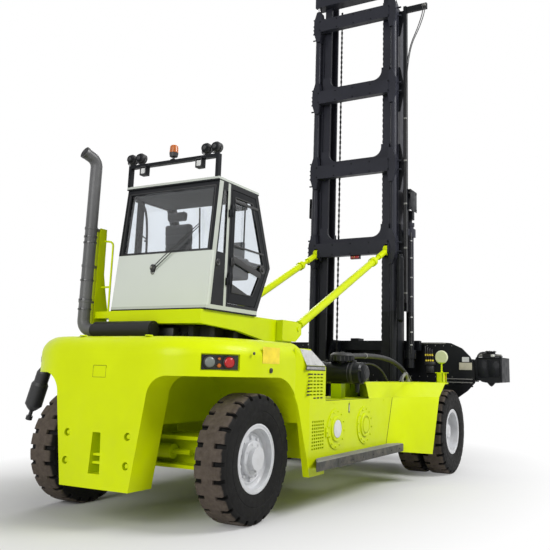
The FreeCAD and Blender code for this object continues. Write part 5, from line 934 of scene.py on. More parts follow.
def shape_back(co, limits, channels, lean):
    """Crown, bolsters, waist, channels and lean of an upright pad."""
    v, w = co.y / limits.y, co.z / limits.z
    face = 1.0 if co.x > 0 else -1.0
    co.x *= 1.0 - 0.22 * abs(v) ** 3
    if face > 0:
        co.x += 0.008 * math.exp(-((abs(v) - 0.78) / 0.14) ** 2)
    co.y *= 1.0 - 0.025 * (1 - w) ** 2 - 0.2 * max(0.0, w - 0.55) ** 1.5
    co.x -= face * 0.009 * groove(co.z, channels) + lean * co.z


def cushion(name, low, high, node=None, lean=None, channels=()):
    """Soft pad between two corners, upright where a lean is given: puffed cloth with sewn channels."""
    size = high - low
    limits = size / 2
    inset = 0.012
    bm = bmesh.new()
    for vert in bmesh.ops.create_cube(bm, size=1.0)["verts"]:
        vert.co = Vector([c * (s - 2 * inset) for c, s in zip(vert.co, size)])
    bevel(bm, bm.edges, min(size) * 0.26, 4)
    long_edges = [e for e in bm.edges if e.calc_length() > 0.08]
    bmesh.ops.subdivide_edges(bm, edges=long_edges, cuts=7, use_grid_fill=True)
    bmesh.ops.recalc_face_normals(bm, faces=bm.faces)
    piece = new_object(name, bm)
    puff(piece)
    slack = abs(lean or 0.0) * limits.z
    for vert in piece.data.vertices:
        if lean is None:
            shape_base(vert.co, limits, channels)
        else:
            shape_back(vert.co, limits, channels, lean)
        vert.co.x = max(-limits.x - slack, min(limits.x + slack, vert.co.x))
        vert.co.y = max(-limits.y, min(limits.y, vert.co.y))
        vert.co.z = max(-limits.z, min(limits.z, vert.co.z))
    smooth = piece.modifiers.new("smooth", "SUBSURF")
    smooth.levels = 1
    smooth.render_levels = 1
    for face in piece.data.polygons:
        face.use_smooth = True
    piece.location = (low + high) / 2
    piece.data.materials.append(MATERIALS["seat_fabric"])
    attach(piece, "chassis")
    if node:
        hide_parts(node)


cushion("seat_pad", at(0.17, -0.25, 2.562), at(0.67, 0.25, 2.68), "seat_cushion", channels=(-0.11, 0.11))
cushion("seat_back_pad", at(0.102, -0.19, 2.69), at(0.218, 0.235, 3.24), "seat_back", 0.062,
        (-0.12, 0.0, 0.12))
cushion("head_pad", at(0.085, -0.105, 3.245), at(0.18, 0.195, 3.375), None, 0.05)
with Piece("seat_frame_trim", "dark_metal", 35.0) as bm:
    for y in (-0.055, 0.055):
        tube(bm, places((0.128, y, 3.29), (0.126, y, 3.37)), 0.007, 8, 0)
    block(bm, at(0.19, -0.235, 2.545), at(0.64, 0.235, 2.568), 0.01)

# ---------------------------------------------------------------- lamps on the roof

WORK_LAMPS = [at(-0.07, y, 4.035) for y in (-0.63, -0.49, 0.49, 0.63)]
LOW_LAMPS_Y = (-0.415, 0.415)
with Piece("work_lamp_trim", "plastic", 32.0) as bm:
    for middle in WORK_LAMPS:
        lathe(bm, [(-0.0555, 0.0), (-0.0555, 0.022), (-0.05, 0.036), (-0.022, 0.0605), (-0.01, 0.0625),
                   (0.03, 0.063), (0.0395, 0.0615), (0.0395, 0.054), (0.032, 0.052)], middle, AHEAD, 32)
        for k in range(5):  # cooling ribs
            inner, outer = 0.06 - 0.0035 * k, 0.064 - 0.0042 * k
            lathe(bm, [(-0.002, inner), (-0.002, outer), (0.002, outer), (0.002, inner)],
                  middle + BACK * (0.012 + 0.008 * k), AHEAD, 32, closed=True)
        fork = ((-0.066, 0.0), (-0.067, -0.055), (0.0, -0.07), (0.067, -0.055), (0.066, 0.0))
        tube(bm, [middle + Vector((0, y, z)) for y, z in fork], 0.006, 8, 2)
        for way in (RIGHT * -1, RIGHT):
            hex_bolt(bm, middle + way * 0.062, way, 0.01)
with Piece("work_lamp_lens", "lens_clear", 40.0) as bm:
    for middle in WORK_LAMPS:
        lathe(bm, [(0.04, 0.053), (0.0425, 0.04), (0.043, 0.0)], middle, AHEAD, 32)
with Piece("low_lamp_lens", "lens_clear", 30.0) as bm:
    for y in LOW_LAMPS_Y:
        block(bm, at(-0.1135, y - 0.03, 3.828), at(-0.1105, y + 0.03, 3.892), 0.0012)
with Piece("low_lamp_rims", "plastic", 30.0) as bm:
    for y in LOW_LAMPS_Y:
        for y0, z0, y1, z1 in ((-0.045, 3.811, -0.035, 3.92), (0.035, 3.811, 0.045, 3.92),
                               (-0.045, 3.811, 0.045, 3.821), (-0.045, 3.907, 0.045, 3.92)):
            block(bm, at(-0.118, y + y0, z0), at(-0.109, y + y1, z1), 0.002)

BEACON = at(-0.06, 0.0, 3.96)
with Piece("beacon_base", "plastic", 35.0, replaces=["beacon"]) as bm:
    lathe(bm, [(0.0, 0.0), (0.0, 0.036), (0.006, 0.036), (0.008, 0.014), (0.034, 0.014), (0.036, 0.04),
               (0.042, 0.047),
               (0.074, 0.052), (0.084, 0.054), (0.088, 0.05), (0.088, 0.0)], BEACON, UP, 36)
with Piece("beacon_dome", "amber", 60.0) as bm:
    dome = [(0.088, 0.0505), (0.092, 0.0515)]
    for k in range(6):  # lens rings
        dome += [(0.096 + 0.011 * k, 0.0525 - 0.0006 * k), (0.1 + 0.011 * k, 0.051 - 0.0006 * k)]
    lathe(bm, dome + [(0.166, 0.0475), (0.178, 0.038), (0.186, 0.022), (0.189, 0.0)], BEACON, UP, 36)

# ---------------------------------------------------------------- fenders, and more on the side boxes

SEAM_Y, SEAM_Z = 1.4505, 1.203  # the side boxes' face, and the fold where the fender's band starts


def slanted_face_y(x, z):
    """Place of the fender's flared face."""
    return SEAM_Y + (0.2752 * (x - 3.33) - 0.1032 * (z - 1.2)) / 0.5952


def fender(side):
    """Sloped band from the side box up to the flat top, flared face, inner walls and lamp bracket."""
    low_line = ((2.48, 1.4505), (2.76, 1.4505), (3.04, 1.4505), (3.325, 1.4515), (3.55, 1.554),
                (3.775, 1.656),
                (4.000, 1.759), (4.218, 1.861))
    drop = side.way(0, -0.004, -0.01)
    bracket = side.at(5.06, 1.635, 1.56)
    with Piece("fender_shell_" + side.name, "green_paint", 32.0,
               replaces=["front_fender_" + side.name]) as bm:
        rings = []
        for k, (x, y) in enumerate(low_line):
            low = side.at(x, y, SEAM_Z)
            high = side.at(2.63 + 2.27 * k / 7, 1.33 + 0.42 * k / 7, 1.41)
            rings.append([low, high, high + drop, low + drop])
        loft(bm, rings)
        side.slab(bm, ((3.332, 1.4515, SEAM_Z), (4.218, 1.861, SEAM_Z), (3.9, 1.853, 0.395),
                       (3.312, 1.57, 0.456),
                       (3.312, 1.5495, 0.5755), (3.098, 1.4515, 0.5755)), (0.003, -0.007, -0.001), 0.002)
        side.slab(bm, ((2.63, 1.33, 1.386), (4.9, 1.75, 1.386), (5.18, 1.71, 1.386), (5.18, 1.0, 1.386),
                       (2.63, 1.0, 1.386)), (0, 0, 0.024), 0.003)
        side.slab(bm, ((4.14, 1.6, 0.56), (4.14, 1.78, 1.18), (4.14, 1.6, 1.388), (4.14, 0.56, 1.388),
                       (4.14, 0.56, 0.56)), (0.024, 0, 0), 0.002)
        # upright plates along X as (y, x0, x1, z0, z1, thickness inwards, edge)
        for y, x0, x1, z0, z1, thick, edge in (
                (1.0, 2.628, 4.145, 1.2, 1.388, 0.024, 0.002),
                                               (1.705, 4.95, 5.01, 1.409, 1.57, 0.125, 0.002),
                (1.69, 5.15, 5.16, 1.409, 1.57, 0.11, 0.001),
                                               (1.69, 4.95, 5.07, 1.409, 1.562, 0.012, 0.002)):
            side.slab(bm, ((x0, y, z0), (x1, y, z0), (x1, y, z1), (x0, y, z1)), (0, -thick, 0), edge)
        side.slab(bm, ((4.94, 1.715, 1.56), (5.19, 1.715, 1.56), (5.19, 1.56, 1.56), (4.94, 1.56, 1.56)),
                  (0, 0, 0.012), 0.002)
        side.block(bm, (4.95, 1.58, 1.409), (5.16, 1.592, 1.562), 0.002, 1)
        lathe(bm, [(0.0, 0.014), (0.14, 0.014), (0.14, 0.0)], bracket, UP, 20)
        lathe(bm, [(-0.006, 0.022), (0.012, 0.022), (0.016, 0.018), (0.016, 0.014)], bracket + UP * 0.012,
              UP, 20)
        for x, z in ((3.42, 1.14), (3.42, 0.66), (4.1, 1.14), (3.9, 0.62)):
            lathe(bm, [(0.0, 0.007), (0.003, 0.007), (0.004, 0.0)], side.at(x, slanted_face_y(x, z), z),
                  side.way(-0.41, 0.9, 0.15), 10)
    with Piece("fender_marker_" + side.name, "amber", 35.0) as bm:
        side.block(bm, (5.095, 1.68, 1.449), (5.15, 1.59, 1.52), 0.01, 3)
        lathe(bm, [(-0.002, 0.026), (0.01, 0.026), (0.014, 0.02), (0.014, 0.0)],
              side.at(5.075, 1.635, 1.485), BACK, 20)


def box_joints(side):
    """Dark joints to the fender and under the box's upper fold, and a row of bolts."""
    with Piece("box_joint_" + side.name, "dark_metal", 25.0) as bm:
        side.slab(bm, ((3.317, SEAM_Y, 1.2), (3.326, SEAM_Y, 1.2), (3.09, SEAM_Y, 0.575),
                       (3.081, SEAM_Y, 0.575)),
                  (0, 0.0016, 0), 0.0003)
        side.slab(bm, ((1.23, SEAM_Y, SEAM_Z), (2.48, SEAM_Y, SEAM_Z), (2.48, SEAM_Y, 1.207),
                       (1.23, SEAM_Y, 1.207)),
                  (0, -0.01, 0), 0.0005)
    with Piece("box_bolts_" + side.name, "green_paint", 25.0) as bm:
        for x in (1.42, 1.86, 2.52, 2.98):
            hex_bolt(bm, side.at(x, SEAM_Y, 1.172), side.out, 0.006)


def step_end(side):
    """Rear end of the step, cut slanted where it meets the post."""
    rise_x, rise_y = STEP_ROOT - STEP_TIP, STEP_OUT - STEP_IN
    with Piece("step_end_" + side.name, "step_dark", 25.0) as bm:
        side.slab(bm, ((STEP_ROOT, STEP_IN, STEP_LOW), (1.206, STEP_IN, STEP_LOW),
                       (1.206, STEP_OUT, STEP_LOW),
                       (STEP_TIP, STEP_OUT, STEP_LOW)), (0, 0, 0.099), 0.003)
    with Piece("step_end_grating_" + side.name, "step_grey", 0, slot="dark_metal") as bm:
        for k in range(5):
            y = 1.463 + 0.0355 * k
            start = STEP_TIP + (STEP_OUT - y) / rise_y * rise_x + 0.01
            side.block(bm, (start, y, 0.5688), (1.216, y + 0.013, 0.577), 0.001, 1)
        for k in range(13):
            x = 0.72 + 0.0389 * k
            inner = 1.458 if x > 0.985 else STEP_OUT - (x - STEP_TIP) / rise_x * rise_y
            side.block(bm, (x, inner, 0.5688), (x + 0.01, 1.6185, 0.5755), 0.001, 1)


def post_trim(side):
    """Toothed riser under the chequer plate, and slots above, below and beside the cut ones."""
    with Piece("riser_band_" + side.name, "step_dark", 25.0) as bm:
        side.slab(bm, ((0.69, SEAM_Y, 1.548), (1.17, SEAM_Y, 1.548), (1.17, SEAM_Y, 1.6),
                       (0.7, SEAM_Y, 1.6)),
                  (0, 0.004, 0))
    with Piece("riser_teeth_" + side.name, "chequer", 0) as bm:
        for k in range(17):
            x = 0.715 + 0.0268 * k
            side.block(bm, (x, 1.454, 1.56), (x + 0.014, 1.458, 1.588), 0.001, 1)
    slots = [(x, x + 0.06, 1.498) for x in (0.742,) + SLOT_X] + [(x, x + 0.06, 1.232) for x in SLOT_X[1:]]
    slots += [(0.722 + 0.008 * k, 0.79, z) for k, z in enumerate(SLOT_Z)]
    with Piece("slot_rows_" + side.name, "dark_metal", 0) as bm:
        for x0, x1, z in slots:
            side.block(bm, (x0, 1.4495, z), (x1, 1.4512, z + 0.016), 0.0006, 1)


for side in SIDES:
    fender(side)
    box_joints(side)
    step_end(side)
    post_trim(side)

dress("air_cleaner", zoned("air_cleaner_black", (0.006, 0.007, 0.008), 0.35, 0.1,
                           [(CAP_GREEN, [("side", 1.04, 1.21), ("x", 2.13, 2.27), ("z", 1.19, 1.388)])]))
for side in SIDES:
    dress("side_box_" + side.name, zoned("side_box_%s_paint" % side.name, GREEN, 0.36, 0.05,
                                         [(STEP_DARK, [("side", 1.4515, 1.63), ("z", 0.46, 0.5715)])], 0.06,
                                         0.05))
for side in SIDES:
    dress("mirror_" + side.name, zoned("mirror_%s_paint" % side.name, CAP_GREEN, 0.3, 0.2,
                                       [((0.62, 0.66, 0.42), [("z", 1.735, 2.4)])]))

# ---------------------------------------------------------------- air cleaner, duct and pipes

CLEANER = at(2.2, 0, 1.53)  # its axis runs out to the right from here
CLEANER_R = 0.1395
with Piece("air_cleaner_trim", "plastic", 35.0) as bm:
    for reach in (1.0, 1.31):  # body ribs
        lathe(bm, [(-0.006, CLEANER_R), (-0.003, 0.143), (0.003, 0.143), (0.006, CLEANER_R)],
              CLEANER + RIGHT * reach, RIGHT, 48)
    for reach in (0.945, 1.365):  # clamp bands with their bolts
        place = CLEANER + RIGHT * reach
        band(bm, place, RIGHT, 0.014, CLEANER_R, 0.1455, 48)
        block(bm, place + Vector((-0.02, -0.016, 0.14)), place + Vector((0.02, 0.016, 0.166)))
        hex_bolt(bm, place + Vector((-0.02, 0, 0.155)), BACK, 0.009)
    for place in ring_of(CLEANER + RIGHT * 1.475, RIGHT, 0.13, 4, 0.5):  # lid catches
        stud(bm, place, RIGHT, 0.012, 0.03, 12)
    for radius in (0.036, 0.072):  # rings pressed into the lid
        lathe(bm, [(0.04, radius - 0.006), (0.0475, radius - 0.004), (0.0475, radius + 0.004),
                   (0.04, radius + 0.006)],
              CLEANER + RIGHT * 1.495, RIGHT, 40)
with Piece("pre_cleaner_trim", "plastic", 35.0) as bm:
    crown = at(2.2, -1.18, 1.64)
    vanes = 20
    for k in range(vanes):
        angle = 2 * math.pi * k / vanes
        foot = crown + Vector((0.158 * math.cos(angle), 0.158 * math.sin(angle), 0.048))
        block(bm, foot - Vector((0.006, 0.005, 0.0)), foot + Vector((0.006, 0.005, 0.052)), 0.002, 1,
              Matrix.Rotation(angle, 4, "Z"))
    lathe(bm, [(0.108, 0.158), (0.114, 0.164), (0.124, 0.16), (0.148, 0.126), (0.152, 0.118)], crown, UP,
          48)
    lathe(bm, [(0.15, 0.03), (0.16, 0.028), (0.164, 0.018), (0.164, 0.0)], crown, UP, 24)

DUCT = places((2.2, -1.08, 1.7), (2.42, -1.09, 1.745), (2.88, -1.12, 1.772), (3.28, -1.145, 1.78),
              (3.72, -1.15, 1.768), (4.11, -1.15, 1.722), (4.46, -1.15, 1.63), (4.72, -1.15, 1.52),
              (4.9, -1.15, 1.415))
with Piece("intake_duct", "plastic", 40.0) as bm:
    tube(bm, DUCT, 0.036, 16)
with Piece("duct_clamps", "step_grey", 30.0) as bm:
    for start, end in ((DUCT[0], DUCT[1]), (DUCT[2], DUCT[3]), (DUCT[7], DUCT[8])):
        band(bm, start.lerp(end, 0.45), end - start, 0.01, 0.034, 0.0405, 24)
with Piece("side_pipes", "plastic", 40.0) as bm:
    tube(bm, places((2.24, -1.00, 1.62), (2.5, -1.02, 1.66), (2.76, -1.05, 1.63), (2.95, -1.06, 1.5),
                    (3.02, -1.06, 1.32), (3.02, -1.06, 1.21)), 0.016, 10)
    tube(bm, places((2.85, -0.98, 1.21), (2.86, -1.00, 1.44), (3.05, -1.02, 1.62), (3.4, -1.06, 1.69),
                    (3.8, -1.08, 1.6), (4.02, -1.1, 1.42)), 0.013, 10)
    tube(bm, places((4.1, -1.28, 1.412), (4.22, -1.24, 1.47), (4.4, -1.2, 1.505), (4.6, -1.18, 1.49),
                    (4.74, -1.18, 1.42)), 0.016, 10)
with Piece("fender_elbow", "step_grey", 40.0) as bm:
    start, end = at(4.3, -1.22, 1.412), at(4.64, -1.2, 1.412)
    tube(bm, [start] + places((4.36, -1.22, 1.5), (4.48, -1.22, 1.535), (4.6, -1.2, 1.5)) + [end], 0.024)
    for place in (start, end):
        lathe(bm, [(0.0, 0.04), (0.022, 0.04), (0.024, 0.03), (0.04, 0.03)], place, UP, 20)
    band(bm, at(4.48, -1.22, 1.533), AHEAD, 0.02, 0.022, 0.032, 20)

with Piece("engine_ribs", "dark_metal", 30.0) as bm:
    low, high = (Vector(v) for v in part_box("engine_block"))
    span = high - low
    for k in range(6):
        x = low.x + span.x * (0.08 + 0.145 * k)
        block(bm, (x, low.y, low.z + span.z * 0.45), (x + span.x * 0.1, high.y, high.z), 0.02)
    for y, proud in ((low.y, -0.03), (high.y, 0.03)):
        for k in range(4):
            x = low.x + span.x * (0.15 + 0.22 * k)
            block(bm, (x, y, low.z + span.z * 0.18), (x + span.x * 0.14, y + proud, low.z + span.z * 0.7),
                  0.01)

# ---------------------------------------------------------------- spreader

REAR = 5.9  # x of the beam's back face
HOSES_Y = (-1.085, -1.125, -1.165, -1.205)


def back_sheet(bm, y0, y1, z0, z1, thick, edge):
    """Thin rectangle on the beam's back."""
    x = REAR - 0.0005
    slab(bm, places((x, y0, z0), (x, y1, z0), (x, y1, z1), (x, y0, z1)), BACK * thick, edge)


with Piece("spreader_label", "label_white", 20.0, "spreader") as bm:
    back_sheet(bm, -1.865, -1.742, 1.765, 1.848, 0.003, 0.0008)
with Piece("spreader_plate", "beige", 20.0, "spreader") as bm:
    back_sheet(bm, -1.916, -1.688, 1.628, 1.752, 0.004, 0.001)
    for y in (-1.9, -1.704):
        for z in (1.642, 1.738):
            hex_bolt(bm, at(REAR - 0.0045, y, z), BACK, 0.006)
with Piece("spreader_bolts", "step_grey", 30.0, "spreader") as bm:
    back_sheet(bm, -1.45, -1.00, 2.076, 2.096, 0.006, 0.001)
    for k in range(26):
        stud(bm, at(REAR - 0.0165, -1.9 + 0.16 * k, 1.402), BACK, 0.011, 0.006, 10, 0.003)
    for k in range(28):
        for z in (1.5, 2.04):
            stud(bm, at(REAR, -1.56 + 0.15 * k, z), BACK, 0.008, 0.005, 8, 0.002, 0.003)
    for y0, y1 in ((-1.93, -1.28), (0.45, 2.95)):  # rails
        for z in (1.405, 1.462):
            block(bm, at(REAR - 0.03, y0, z), at(REAR - 0.016, y1, z + 0.014), 0.003, 1)
with Piece("spreader_rail_feet", "black_paint", 30.0, "spreader") as bm:
    for y0, y1 in ((-1.9, -1.32), (0.5, 2.9)):
        for k in range(5):
            y = y0 + (y1 - y0) * k / 4
            block(bm, at(REAR - 0.026, y - 0.03, 1.395), at(REAR - 0.001, y + 0.03, 1.485), 0.004, 1)
            hex_bolt(bm, at(REAR - 0.026, y, 1.44), BACK, 0.012)
with Piece("spreader_valves", "plastic", 40.0, "spreader") as bm:
    for k, y in enumerate(HOSES_Y):
        top = 2.03 - 0.02 * k
        tube(bm, places((REAR - 0.005, y, top), (REAR - 0.045, y, top - 0.01),
                        (REAR - 0.055, y - 0.01, 1.92),
                        (REAR - 0.05, y - 0.02, 1.8), (REAR - 0.03, y - 0.03, 1.72),
                        (REAR - 0.004, y - 0.03, 1.7)),
             0.011, 10)
    block(bm, at(REAR - 0.06, -1.265, 1.7), at(REAR - 0.001, -1.075, 1.76), 0.006)
    block(bm, at(REAR - 0.05, -1.24, 1.56), at(REAR - 0.001, -1.1, 1.69), 0.006)
with Piece("spreader_fittings", "label_yellow", 30.0, "spreader", "rod_chrome") as bm:
    for y in HOSES_Y:
        stud(bm, at(REAR - 0.053, y - 0.012, 1.86), (0, 0.1, 1), 0.016, 0.03, 6)
        stud(bm, at(REAR - 0.05, y - 0.02, 1.765), (0, 0.1, 1), 0.016, 0.026, 6)

# ---------------------------------------------------------------- mast

MAST_BLACK, MAST_OILY = (0.024, 0.025, 0.034), (0.01, 0.011, 0.013)
for node in ("outer_mast", "inner_mast"):
    dress(node, zoned(node + "_paint", MAST_BLACK, 0.4, 0.05, [(MAST_OILY, [("z", 0.3, 2.6)])], 0.25))

LINK_PITCH, LINK_WIDE, LINK_THICK = 0.052, 0.034, 0.02


def lift_chain(side):
    """Leaf chain inside the mast opening: link plates, every second one narrower."""
    low, high = 1.1, 8.66
    with Piece("lift_chain_" + side.name, "dark_metal", 0, "mast_inner_stage") as bm:
        for k in range(int((high - low) / LINK_PITCH)):
            inset = 0.006 if k % 2 else 0.0
            middle = side.at(5.38, 0.45, low + k * LINK_PITCH)
            reach = Vector((LINK_THICK / 2 - inset / 3, LINK_WIDE / 2 - inset, 0))
            block(bm, middle - reach + UP * 0.003, middle + reach + UP * (LINK_PITCH + 0.008), 0.0015, 1)


def chain_guard(side):
    """Guard over the free-lift chain wheel, with the chain that comes out at its rear, and the feed pipe."""
    low, high = (Vector(v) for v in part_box("free_lift_ram_" + side.name))
    top = Vector(((low.x + high.x) / 2, (low.y + high.y) / 2, high.z))
    body = "free_lift_" + side.name
    with Piece("chain_guard_" + side.name, "black_paint", 30.0, body) as bm:
        for x0, x1, y0, y1, z0, z1, edge, steps in (
                (-0.165, 0.165, -0.075, -0.062, -0.36, 0.02, 0.02, 3),
                (-0.165, 0.165, 0.062, 0.075, -0.36, 0.02, 0.02, 3),
                (-0.165, 0.165, -0.075, 0.075, 0.008, 0.021, 0.004, 2),
                (-0.168, -0.158, -0.075, 0.075, -0.36, -0.16, 0.004, 2)):
            block(bm, top + Vector((x0, y0, z0)), top + Vector((x1, y1, z1)), edge, steps)
        for z in (-0.32, -0.02):
            for x in (-0.13, 0.13):
                hex_bolt(bm, top + side.way(x, 0.075, z), side.out, 0.01)
    with Piece("chain_teeth_" + side.name, "step_grey", 0, body, "dark_metal") as bm:
        for k in range(12):
            middle = top + side.way(-0.171, -0.01, 0.03 * k - 0.345)
            block(bm, middle - Vector((0.005, 0.022, 0)), middle + Vector((0.005, 0.022, 0.016)), 0.002, 1)
    x = top.x - 0.085 - SHIFT.x
    with Piece("free_lift_pipe_" + side.name, "plastic", 40.0, "mast_inner_stage") as bm:
        pipe = ((x + 0.02, 0.99, 1.86), (x, 1.01, 1.95), (x, 1.01, 3.98), (x + 0.03, 0.99, 4.06))
        tube(bm, [side.at(*p) for p in pipe], 0.011, 10, 2)
    with Piece("free_lift_clips_" + side.name, "chequer", 30.0, "mast_inner_stage") as bm:
        for z in (2.02, 2.24, 2.5, 2.86, 3.2, 3.55, 3.86):
            middle = side.at(x, 1.01, z)
            block(bm, middle - Vector((0.016, 0.016, 0)), middle + Vector((0.016, 0.016, 0.022)), 0.004, 1)


for side in SIDES:
    lift_chain(side)
    chain_guard(side)

# formed hoses from the guide arm down along the hose guide
HOSE_TOPS_Y = (-1.352, -1.315)
with Piece("mast_hoses", "plastic", 40.0, "mast_outer_stage") as bm:
    for k, y in enumerate(HOSE_TOPS_Y):
        beside = 0.022 * k
        tube(bm, places((5.175 - 0.02 * k, y, 8.3), (5.17, y, 8.16), (5.165, y + 0.1, 7.86),
                        (5.16, beside - 1.105, 7.58),
                        (5.155, beside - 1.045, 7.3), (5.15, beside - 1.0, 6.9),
                        (5.15, beside - 0.985, 6.4),
                        (5.15, beside - 0.985, 2.75)), 0.009, 8)
with Piece("mast_hose_clips", "step_grey", 30.0, "mast_outer_stage") as bm:
    for z in (2.9, 3.7, 4.5, 5.3, 6.1):
        block(bm, at(5.136, -1.0, z), at(5.164, -0.948, z + 0.03), 0.004, 1)
    for y in HOSE_TOPS_Y:
        stud(bm, at(5.165, y, 8.285), UP, 0.013, 0.03, 6, 0.004, 0.003)
    block(bm, at(5.15, -1.372, 8.275), at(5.188, -1.295, 8.29), 0.003, 1)

# lamps under the lowest cross beam; bolts on the beams and pins through their ends
with Piece("beam_lamp_red", "lens_red", 30.0, "mast_outer_stage", "amber") as bm:
    block(bm, at(4.964, -0.16, 3.545), at(4.972, -0.085, 3.592), 0.003)
    block(bm, at(4.964, -0.035, 3.545), at(4.972, 0.000, 3.592), 0.003)
with Piece("beam_lamp_amber", "amber", 30.0, "mast_outer_stage") as bm:
    block(bm, at(4.964, -0.08, 3.545), at(4.972, -0.04, 3.592), 0.003)
with Piece("beam_bolts", "black_paint", 30.0, "mast_outer_stage") as bm:
    for k in range(4):
        z = 3.6 + 1.495 * k
        for y in (-0.72, -0.36, 0.0, 0.36, 0.72):
            for rise in (0.035, 0.215):
                hex_bolt(bm, at(4.93, y, z + rise), BACK, 0.011)
        for rise in (-0.1, 0.125, 0.34):
            tube(bm, places((5.06, 0.835, z + rise), (5.06, 0.925, z + rise)), 0.014, 12, 0)

# ---------------------------------------------------------------- cab's tilting gear and exhaust

# Exhaust paint: the horizontal muffler part under the cab platform is made near black, painted shade for the
# platform's shadow over it.
dress("exhaust", zoned("exhaust_steel_painted_shade", (0.115, 0.115, 0.118), 0.38, 0.1,
                       [((0.018, 0.018, 0.018), [("y", -0.2, 0.8), ("z", 1.7, 2.6)])], 0.2))

UNDER, DECK = 2.021, 1.851  # under the cab platform, and the deck's top
# The frame beams under the cab platform are coloured near black as painted shade for the platform's shadow
# over this gap; the beams themselves are green.
with Piece("platform_beams", "dark_metal", 25.0) as bm:
    for x in (0.02, 0.48, 0.94):
        block(bm, at(x, -0.6, DECK), at(x + 0.09, 0.62, UNDER), 0.006, 1)
    for y in (-0.46, 0.4):
        block(bm, at(-0.1, y, DECK), at(1.1, y + 0.07, UNDER - 0.02), 0.006, 1)
with Piece("platform_gear", "plastic", 40.0) as bm:
    tube(bm, places((-0.12, 0.12, DECK + 0.07), (0.6, 0.12, DECK + 0.07)), 0.045, 20, 0)
    for k in range(4):
        y = 0.02 - 0.1 * k
        tube(bm, places((-0.08, y, DECK + 0.03), (0.05, y - 0.03, DECK + 0.1), (0.3, y - 0.05, DECK + 0.05),
                        (0.62, y - 0.02, DECK + 0.1)), 0.014, 8)
    block(bm, at(-0.12, -0.2, DECK + 0.01), at(0.00, 0.06, DECK + 0.13), 0.01)
    block(bm, at(-0.16, 0.16, DECK + 0.085), at(-0.1, 0.24, DECK + 0.165), 0.012)
with Piece("platform_lamp", "lens_clear", 40.0) as bm:
    stud(bm, at(-0.16, 0.2, DECK + 0.125), BACK, 0.024, 0.006, 20, 0.004, 0.008)

MOUTH, FLOW = at(-0.49, 1.005, 4.06), Vector((-0.17, 0.04, 0.07))
with Piece("exhaust_clamps", "exhaust_steel", 35.0) as bm:
    for z in (2.19, 2.3, 2.53, 2.98, 3.05):
        band(bm, at(-0.32, 0.965, z), UP, 0.009, 0.0705, 0.0775, 40)
        block(bm, at(-0.405, 0.95, z - 0.01), at(-0.39, 0.98, z + 0.01), 0.003, 1)
        hex_bolt(bm, at(-0.397, 0.952, z), RIGHT, 0.008)
    lathe(bm, [(-0.03, 0.0715), (-0.03, 0.074), (0.0, 0.074), (0.002, 0.07), (0.002, 0.065)], MOUTH, FLOW,
          40)
with Piece("exhaust_mouth", "dark_metal", 35.0) as bm:
    lathe(bm, [(0.001, 0.066), (0.0015, 0.064), (0.0012, 0.0)], MOUTH, FLOW, 32)

# ---------------------------------------------------------------- lock heads of the telescopes


def lock_head(side):
    """Bolted covers, ribs, lock pin, actuator, hoses and lamp at a telescope's end."""
    low, high = (Vector(v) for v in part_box("spreader_arm_" + side.name))
    rear, front = low.x, high.x
    outer = low.y if side.sign < 0 else high.y
    body = "telescope_" + side.name

    def spot(x, inward, z):
        return Vector((x, outer - side.sign * inward, z))

    pin = spot(rear + 0.17, 0.229, 1.44)
    actuator = spot(rear + 0.17, 0.229, 1.94)
    with Piece("lock_head_" + side.name, "black_paint", 32.0, body) as bm:
        block(bm, spot(rear - 0.014, 0.04, 1.515), spot(rear + 0.002, 0.235, 1.79))
        block(bm, spot(rear - 0.01, 0.255, 1.5), spot(rear + 0.002, 0.42, 1.8))
        for inward in (0.006, 0.43):
            block(bm, spot(rear - 0.03, inward, 1.44), spot(rear + 0.002, inward + 0.014, 1.835))
        block(bm, spot(rear - 0.034, 0.000, 1.832), spot(front, 0.44, 1.846))
        for k in range(4):
            x = rear + 0.06 + 0.155 * k
            block(bm, spot(x, 0, 1.455), spot(x + 0.015, 0.012, 1.83), 0.002)
        lathe(bm, [(0.0, 0.062), (0.04, 0.062), (0.044, 0.05), (0.056, 0.044), (0.07, 0.03), (0.084, 0.012),
                   (0.086, 0.0)], pin, DOWN, 28)
        stud(bm, actuator, UP, 0.098, 0.012, 32, 0.004, 0.01)
        block(bm, actuator + Vector((-0.16, -0.02, -0.025)), actuator + Vector((-0.05, 0.02, 0.018)), 0.006)
        block(bm, spot(front - 0.2, 0.1, 1.845), spot(front - 0.06, 0.3, 1.895), 0.01)
        for inward in (0.056, 0.138, 0.219):
            for z in (1.535, 1.652, 1.77):
                hex_bolt(bm, spot(rear - 0.014, inward, z), BACK, 0.009)
        for z in (1.52, 1.61, 1.7, 1.78):
            for inward in (0.275, 0.4):
                hex_bolt(bm, spot(rear - 0.01, inward, z), BACK, 0.007)
    with Piece("lock_head_bolts_" + side.name, "step_grey", 30.0, body) as bm:
        for place in ring_of(actuator + UP * 0.016, UP, 0.076, 6, 0.3):
            hex_bolt(bm, place, UP, 0.009)
        tube(bm, [spot(rear + 0.055, 0.02, 1.885), spot(rear + 0.055, 0.42, 1.885)], 0.0165, 14, 0)
        band(bm, spot(rear + 0.055, 0.36, 1.885), RIGHT, 0.05, 0.026, 0.032, 20)
    with Piece("lock_head_hoses_" + side.name, "plastic", 40.0, body) as bm:
        for k in range(3):
            x = rear + 0.02 + 0.03 * k
            tube(bm, [spot(x, 0.43, 1.846), spot(x, 0.41, 1.905 + 0.012 * k),
                      spot(x + 0.03, 0.3, 1.925 + 0.01 * k),
                      spot(rear + 0.11 + 0.02 * k, 0.22, 1.905)], 0.009, 8)
        block(bm, spot(rear - 0.03, 0.1, 1.85), spot(rear + 0.01, 0.19, 1.905), 0.008)
    with Piece("lock_head_lamp_" + side.name, "lens_clear", 30.0, body) as bm:
        block(bm, spot(rear - 0.034, 0.11, 1.858), spot(rear - 0.03, 0.18, 1.897), 0.002)


for side in SIDES:
    lock_head(side)

# ---------------------------------------------------------------- studio


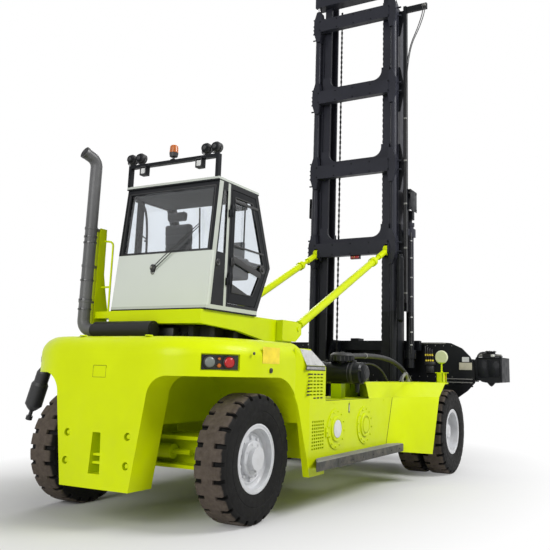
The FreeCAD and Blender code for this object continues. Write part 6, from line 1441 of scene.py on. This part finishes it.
def make_stage():
    """Pale floor that runs out to pure white away from the object and keeps its soft shadow."""
    n = material_nodes("studio_floor")
    n.colour(n.ramp(n.noise(0.4, 3.0), 0.3, 0.7, (0.6, 0.6, 0.6), (0.64, 0.64, 0.64)))
    n.set(Roughness=0.9)
    # the white starts in an ellipse round the object, longer along it
    away = n.length(n.math("MULTIPLY", n.axes()["X"], 0.55), n.axes()["Y"])
    white = n.add("ShaderNodeEmission", {"Color": (1, 1, 1, 1)}).outputs["Emission"]
    fade = n.math("MULTIPLY", n.seen(), n.range(away, 1.9, 4.3, 0.0, 1.0))
    n.link(n.mix_shader(fade, n.shader.outputs["BSDF"], white),
           n.tree.nodes["Material Output"].inputs["Surface"])
    bm = bmesh.new()
    bmesh.ops.create_grid(bm, x_segments=4, y_segments=4, size=90.0)
    floor = new_object("floor", bm)
    floor.data.materials.append(n.material)


def area_light(name, place, target, size, power):
    data = bpy.data.lights.new(name, "AREA")
    data.shape = "DISK"
    data.size = size
    data.energy = power
    lamp = bpy.data.objects.new(name, data)
    lamp.location = place
    lamp.rotation_euler = (target - place).to_track_quat("-Z", "Y").to_euler()
    bpy.context.scene.collection.objects.link(lamp)


def make_lights():
    """Three soft lamps and a world that lights faintly but is seen as white."""
    middle = at(2.5, 0, 2.5)
    area_light("key", at(4.5, -13, 13), middle, 8.0, 2450.0)
    area_light("fill", at(-14, -1, 7), middle, 10.0, 1450.0)
    area_light("back", at(12, 9, 12), middle, 9.0, 700.0)
    world = bpy.data.worlds.new("studio")
    bpy.context.scene.world = world
    n = Nodes(world)
    lit = n.tree.nodes["Background"]
    lit.inputs["Color"].default_value = (1.0, 1.0, 1.0, 1.0)
    lit.inputs["Strength"].default_value = 0.26
    white = n.add("ShaderNodeBackground", {"Color": (1.0, 1.0, 1.0, 1.0), "Strength": 1.0})
    mixed = n.mix_shader(n.seen(), lit.outputs["Background"], white.outputs["Background"])
    n.link(mixed, n.tree.nodes["World Output"].inputs["Surface"])


make_stage()
make_lights()
bpy.context.scene.view_settings.view_transform = "Standard"
